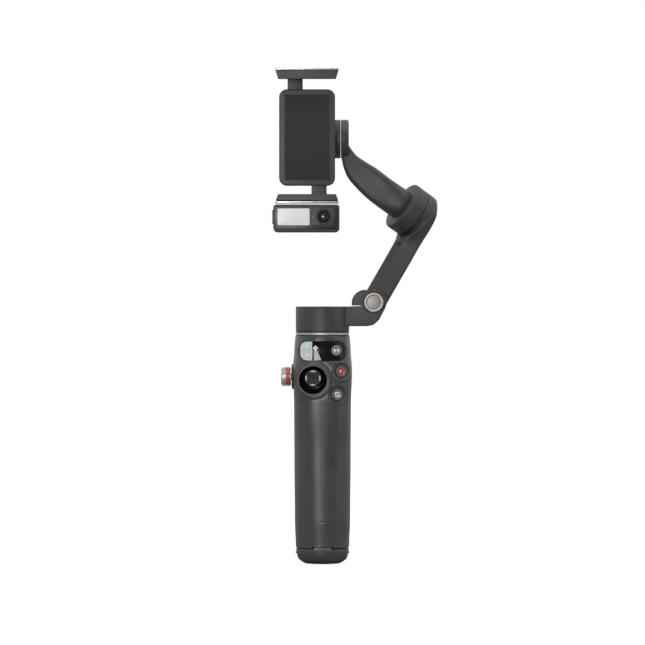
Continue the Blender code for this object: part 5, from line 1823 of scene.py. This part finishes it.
class GIMBAL_OT_module(bpy.types.Operator):
    """Build the light and tracking module under the lower jaw"""

    bl_idname = "gimbal.module"
    bl_label = "Light module"

    def execute(self, context):
        low, high = node_box("module_shell")
        outline = filleted([
            (low.x, low.z, 3.2), (high.x, low.z, 3.2), (high.x, high.z, 2.2), (low.x, high.z, 2.2),
        ], steps=8)
        shell = slab(outline, low.y, high.y, "Y", 0.9, 5)
        light_low, light_high = node_box("diffuser")

        def round_light(grow, radius):
            corner = (light_low.x - grow, light_low.z - grow)
            return rounded_rectangle(corner, (light_high.x + grow, light_high.z + grow), radius)

        pocket = slab(round_light(0.3, 1.1), low.y - 1, low.y + 2.2, "Y", 0.0)
        lens = node_middle("lens_barrel")
        bore = front_pin(lens.xz, 5.2, low.y - 1, low.y + 6.2, 96)
        key_hole = rounded_rectangle((-15.5, 218.0), (-10.5, 227.5), 1.0)
        side = slab(key_hole, low.x - 1, low.x + 2.5, "X", 0.0)
        spot = front_pin(TRACKING_PLACE, 0.42, low.y - 1, low.y + 0.8, 24)
        piece(
            "module_case", cut(shell, merged(pocket, bore, side, spot)), "module", FINISHES["paint"],
            ["module_shell"],
        )
        bezel = slab(filleted([
            (low.x + 1.0, low.z + 1.2, 2.4), (high.x - 1.0, low.z + 1.2, 2.4),
            (high.x - 1.0, high.z - 1.0, 1.6), (low.x + 1.0, high.z - 1.0, 1.6),
        ], steps=6), low.y - 0.02, low.y + 0.6, "Y", 0.2, 2)
        window = slab(round_light(0.2, 1.0), low.y - 1, low.y + 2, "Y", 0.0)
        lens_hole = front_pin(lens.xz, 5.1, low.y - 1, low.y + 2, 96)
        light_hole = front_pin(TRACKING_PLACE, 0.42, low.y - 1, low.y + 2, 24)
        bezel = cut(bezel, merged(window, lens_hole, light_hole))
        piece("module_face", bezel, "module", FINISHES["black"])
        panel = slab(
            rounded_rectangle((light_low.x, light_low.z), (light_high.x, light_high.z), 0.9, 6),
            light_low.y, light_high.y, "Y", 0.3, 3,
        )
        piece("light_panel", panel, "module", FINISHES["diffuser"], ["diffuser"])
        dome = [(0, 0), (0.3, 0.05), (0.38, 0.3), (0.38, 0.6), (0, 0.6)]
        led = lathe(dome, (TRACKING_PLACE[0], low.y + 0.1, TRACKING_PLACE[1]), Y_AXIS, 24)
        piece("tracking_light", led, "module", FINISHES["dash"])
        start = node_box("lens_barrel")[0].y
        barrel = [
            (0, 2.6), (2.2, 2.6), (2.5, 1.9), (3.1, 1.7), (3.3, 1.1), (3.9, 0.9), (4.1, 0.25),
            (4.3, 0.0),
            (4.75, 0.0), (4.92, 0.2), (4.92, 5.7), (0, 5.7),
        ]
        piece(
            "lens_housing", lathe(barrel, (lens.x, start, lens.z), Y_AXIS, 128), "module",
            FINISHES["black"], ["lens_barrel"],
        )
        dome = [(0, 0.75), (1.0, 0.82), (1.9, 1.05), (2.7, 1.45), (3.2, 1.9), (3.2, 2.3), (0, 2.3)]
        glass = lathe(dome, (lens.x, start, lens.z), Y_AXIS, 96)
        piece("lens_glass", glass, "module", FINISHES["lens"])
        # a small dark red disc inside the lens, painted as the coating's coloured glint
        painted_glint = [(0, 0.6), (0.7, 0.66), (1.05, 0.95), (0, 1.0)]
        glint = lathe(painted_glint, (lens.x, start + 0.1, lens.z), Y_AXIS, 48)
        piece("lens_painted_glint", glint, "module", FINISHES["lens_glint"])
        key_low, key_high = node_box("module_button")
        face = rounded_rectangle((key_low.y, key_low.z), (key_high.y, key_high.z), 0.9, 5)
        key = slab(face, key_low.x, key_high.x, "X", 0.35, 3)
        piece("module_key", key, "module_button", FINISHES["black"], ["module_button"])
        return {"FINISHED"}


def screw_head(radius):
    """A small flat screw head with a six-pointed socket, facing +Z."""
    head = lathe([
        (0, -0.6), (radius, -0.6), (radius, -0.12), (radius - 0.12, 0.0), (0, 0.0),
    ], steps=40)
    star = []
    for i in range(12):
        angle = math.tau * i / 12
        reach = radius * (0.55 if i % 2 else 0.38)
        star.append((reach * math.cos(angle), reach * math.sin(angle)))
    return cut(head, slab(star, -0.4, 1.0, "Z", 0.0))


class GIMBAL_OT_screws(bpy.types.Operator):
    """Build the screws that show at the back of the link, the clamp and the module"""

    bl_idname = "gimbal.screws"
    bl_label = "Screws"
    # Build the screws that show at the back of the clamp and the module

    def execute(self, context):
        clamp_low, clamp_high = node_box("clamp_body")
        x = (clamp_low.x + clamp_high.x) / 2
        back = []
        for side in (-1, 1):
            for z in (clamp_low.z + 5.0, clamp_high.z - 5.0):
                head = screw_head(1.3)
                head.transform(axis_matrix((x + side * 14.2, clamp_high.y + 0.02, z), Y_AXIS))
                back.append(head)
        piece("clamp_screws", merged(*back), "clamp", FINISHES["screw"])
        module_low, module_high = node_box("module_shell")
        heads = []
        for u in (module_low.x + 5.0, module_high.x - 5.0):
            head = screw_head(1.1)
            head.transform(axis_matrix((u, module_high.y + 0.02, 221.7), Y_AXIS))
            heads.append(head)
        piece("module_screws", merged(*heads), "module", FINISHES["screw"])
        return {"FINISHED"}


# ---- stage --------------------------------------------------------------------------------


def area_light(name, place, size, power, target):
    data = bpy.data.lights.new(name, "AREA")
    data.shape = "RECTANGLE"
    data.size = size[0]
    data.size_y = size[1]
    data.energy = power
    light = bpy.data.objects.new(name, data)
    light.location = place
    light.rotation_euler = (Vector(target) - Vector(place)).to_track_quat("-Z", "Y").to_euler()
    bpy.context.scene.collection.objects.link(light)


def white_surround(sides, front):
    """A world that the camera sees as white, and that lights the object less from the front."""
    world = bpy.data.worlds.new("white_surround")
    world.use_nodes = True
    nodes = world.node_tree.nodes
    links = world.node_tree.links
    background = nodes["Background"]
    background.inputs["Color"].default_value = (1, 1, 1, 1)
    direction = nodes.new("ShaderNodeTexCoord")
    axes = nodes.new("ShaderNodeSeparateXYZ")
    links.new(direction.outputs["Generated"], axes.inputs[0])
    shade = nodes.new("ShaderNodeMapRange")
    shade.interpolation_type = "SMOOTHSTEP"
    links.new(axes.outputs["Y"], shade.inputs["Value"])
    shade.inputs["From Min"].default_value = -0.85
    shade.inputs["From Max"].default_value = -0.15
    shade.inputs["To Min"].default_value = front
    shade.inputs["To Max"].default_value = sides
    path = nodes.new("ShaderNodeLightPath")
    seen = nodes.new("ShaderNodeMix")
    links.new(path.outputs["Is Camera Ray"], seen.inputs[0])
    links.new(shade.outputs["Result"], seen.inputs[2])
    seen.inputs[3].default_value = 1.0
    links.new(seen.outputs[0], background.inputs["Strength"])
    return world


class GIMBAL_OT_stage(bpy.types.Operator):
    """Set up the pale floor, the soft studio lights and the camera"""

    bl_idname = "gimbal.stage"
    bl_label = "Stage"

    def execute(self, context):
        studio = settings()[2]
        floor = bmesh.new()
        bmesh.ops.create_circle(floor, cap_ends=True, segments=64, radius=6.0)
        mesh = bpy.data.meshes.new("floor")
        floor.to_mesh(mesh)
        floor.free()
        white = moulded("floor_white", (0.30, 0.30, 0.30), (0.29, 0.29, 0.29), rough=0.8, bump=0.0)
        nodes = white.node_tree.nodes
        path = nodes.new("ShaderNodeLightPath")
        shader = nodes["Principled BSDF"]
        white.node_tree.links.new(path.outputs["Is Camera Ray"], shader.inputs["Emission Color"])
        shader.inputs["Emission Strength"].default_value = 0.86
        mesh.materials.append(white)
        ground = bpy.data.objects.new("floor", mesh)
        ground.location = (0, 0, -0.0005)
        context.scene.collection.objects.link(ground)
        context.scene.world = white_surround(studio.surround, studio.front)
        middle = (0.02, 0, 0.16)
        area_light("front_strip", (-0.55, -2.35, 0.05), (0.60, 1.5), studio.key_power, middle)
        area_light("right_strip", (0.9, -0.35, 0.40), (0.35, 1.0), studio.key_power * 0.02, middle)
        area_light("top_soft", (0.2, -0.3, 1.1), (0.9, 0.6), studio.key_power * 0.07, middle)
        camera_data = bpy.data.cameras.new("front_camera")
        camera_data.sensor_width = 36.0
        camera_data.lens = 36.0 * studio.distance / studio.frame_width
        camera = bpy.data.objects.new("front_camera", camera_data)
        camera.location = (0, -studio.distance, 0.1551)
        camera.rotation_euler = (math.radians(90), 0, 0)
        context.scene.collection.objects.link(camera)
        context.scene.camera = camera
        context.scene.view_settings.view_transform = "Standard"
        return {"FINISHED"}


OPERATORS = (
    GIMBAL_OT_finishes, GIMBAL_OT_handle, GIMBAL_OT_display, GIMBAL_OT_buttons,
    GIMBAL_OT_joystick, GIMBAL_OT_zoom_wheel, GIMBAL_OT_trigger, GIMBAL_OT_rod,
    GIMBAL_OT_tripod, GIMBAL_OT_head, GIMBAL_OT_lower_arm, GIMBAL_OT_upper_arm,
    GIMBAL_OT_roll_motor, GIMBAL_OT_link, GIMBAL_OT_tilt_motor, GIMBAL_OT_clamp,
    GIMBAL_OT_module, GIMBAL_OT_screws, GIMBAL_OT_stage,
)


class GIMBAL_PT_panel(bpy.types.Panel):
    """Settings and build steps of the gimbal"""

    bl_idname = "GIMBAL_PT_panel"
    bl_label = "Camera Gimbal"
    bl_space_type = "VIEW_3D"
    bl_region_type = "UI"
    bl_category = "Gimbal"

    def draw(self, context):
        layout = self.layout
        for group in settings():
            box = layout.box()
            for name in group.bl_rna.properties.keys():
                if name not in {"rna_type", "name"}:
                    box.prop(group, name)
        column = layout.column(align=True)
        for operator in OPERATORS:
            column.operator(operator.bl_idname)


CLASSES = (GimbalFinishes, GimbalSizes, GimbalStudio, *OPERATORS, GIMBAL_PT_panel)


def register():
    for cls in CLASSES:
        bpy.utils.register_class(cls)
    scene = bpy.types.Scene
    scene.gimbal_finishes = bpy.props.PointerProperty(type=GimbalFinishes)
    scene.gimbal_sizes = bpy.props.PointerProperty(type=GimbalSizes)
    scene.gimbal_studio = bpy.props.PointerProperty(type=GimbalStudio)


def unregister():
    del bpy.types.Scene.gimbal_finishes
    del bpy.types.Scene.gimbal_sizes
    del bpy.types.Scene.gimbal_studio
    for cls in reversed(CLASSES):
        bpy.utils.unregister_class(cls)


def main():
    register()
    for operator in OPERATORS:
        step = operator.bl_idname.split(".")[1]
        getattr(bpy.ops.gimbal, step)()


if __name__ == "__main__":
    main()
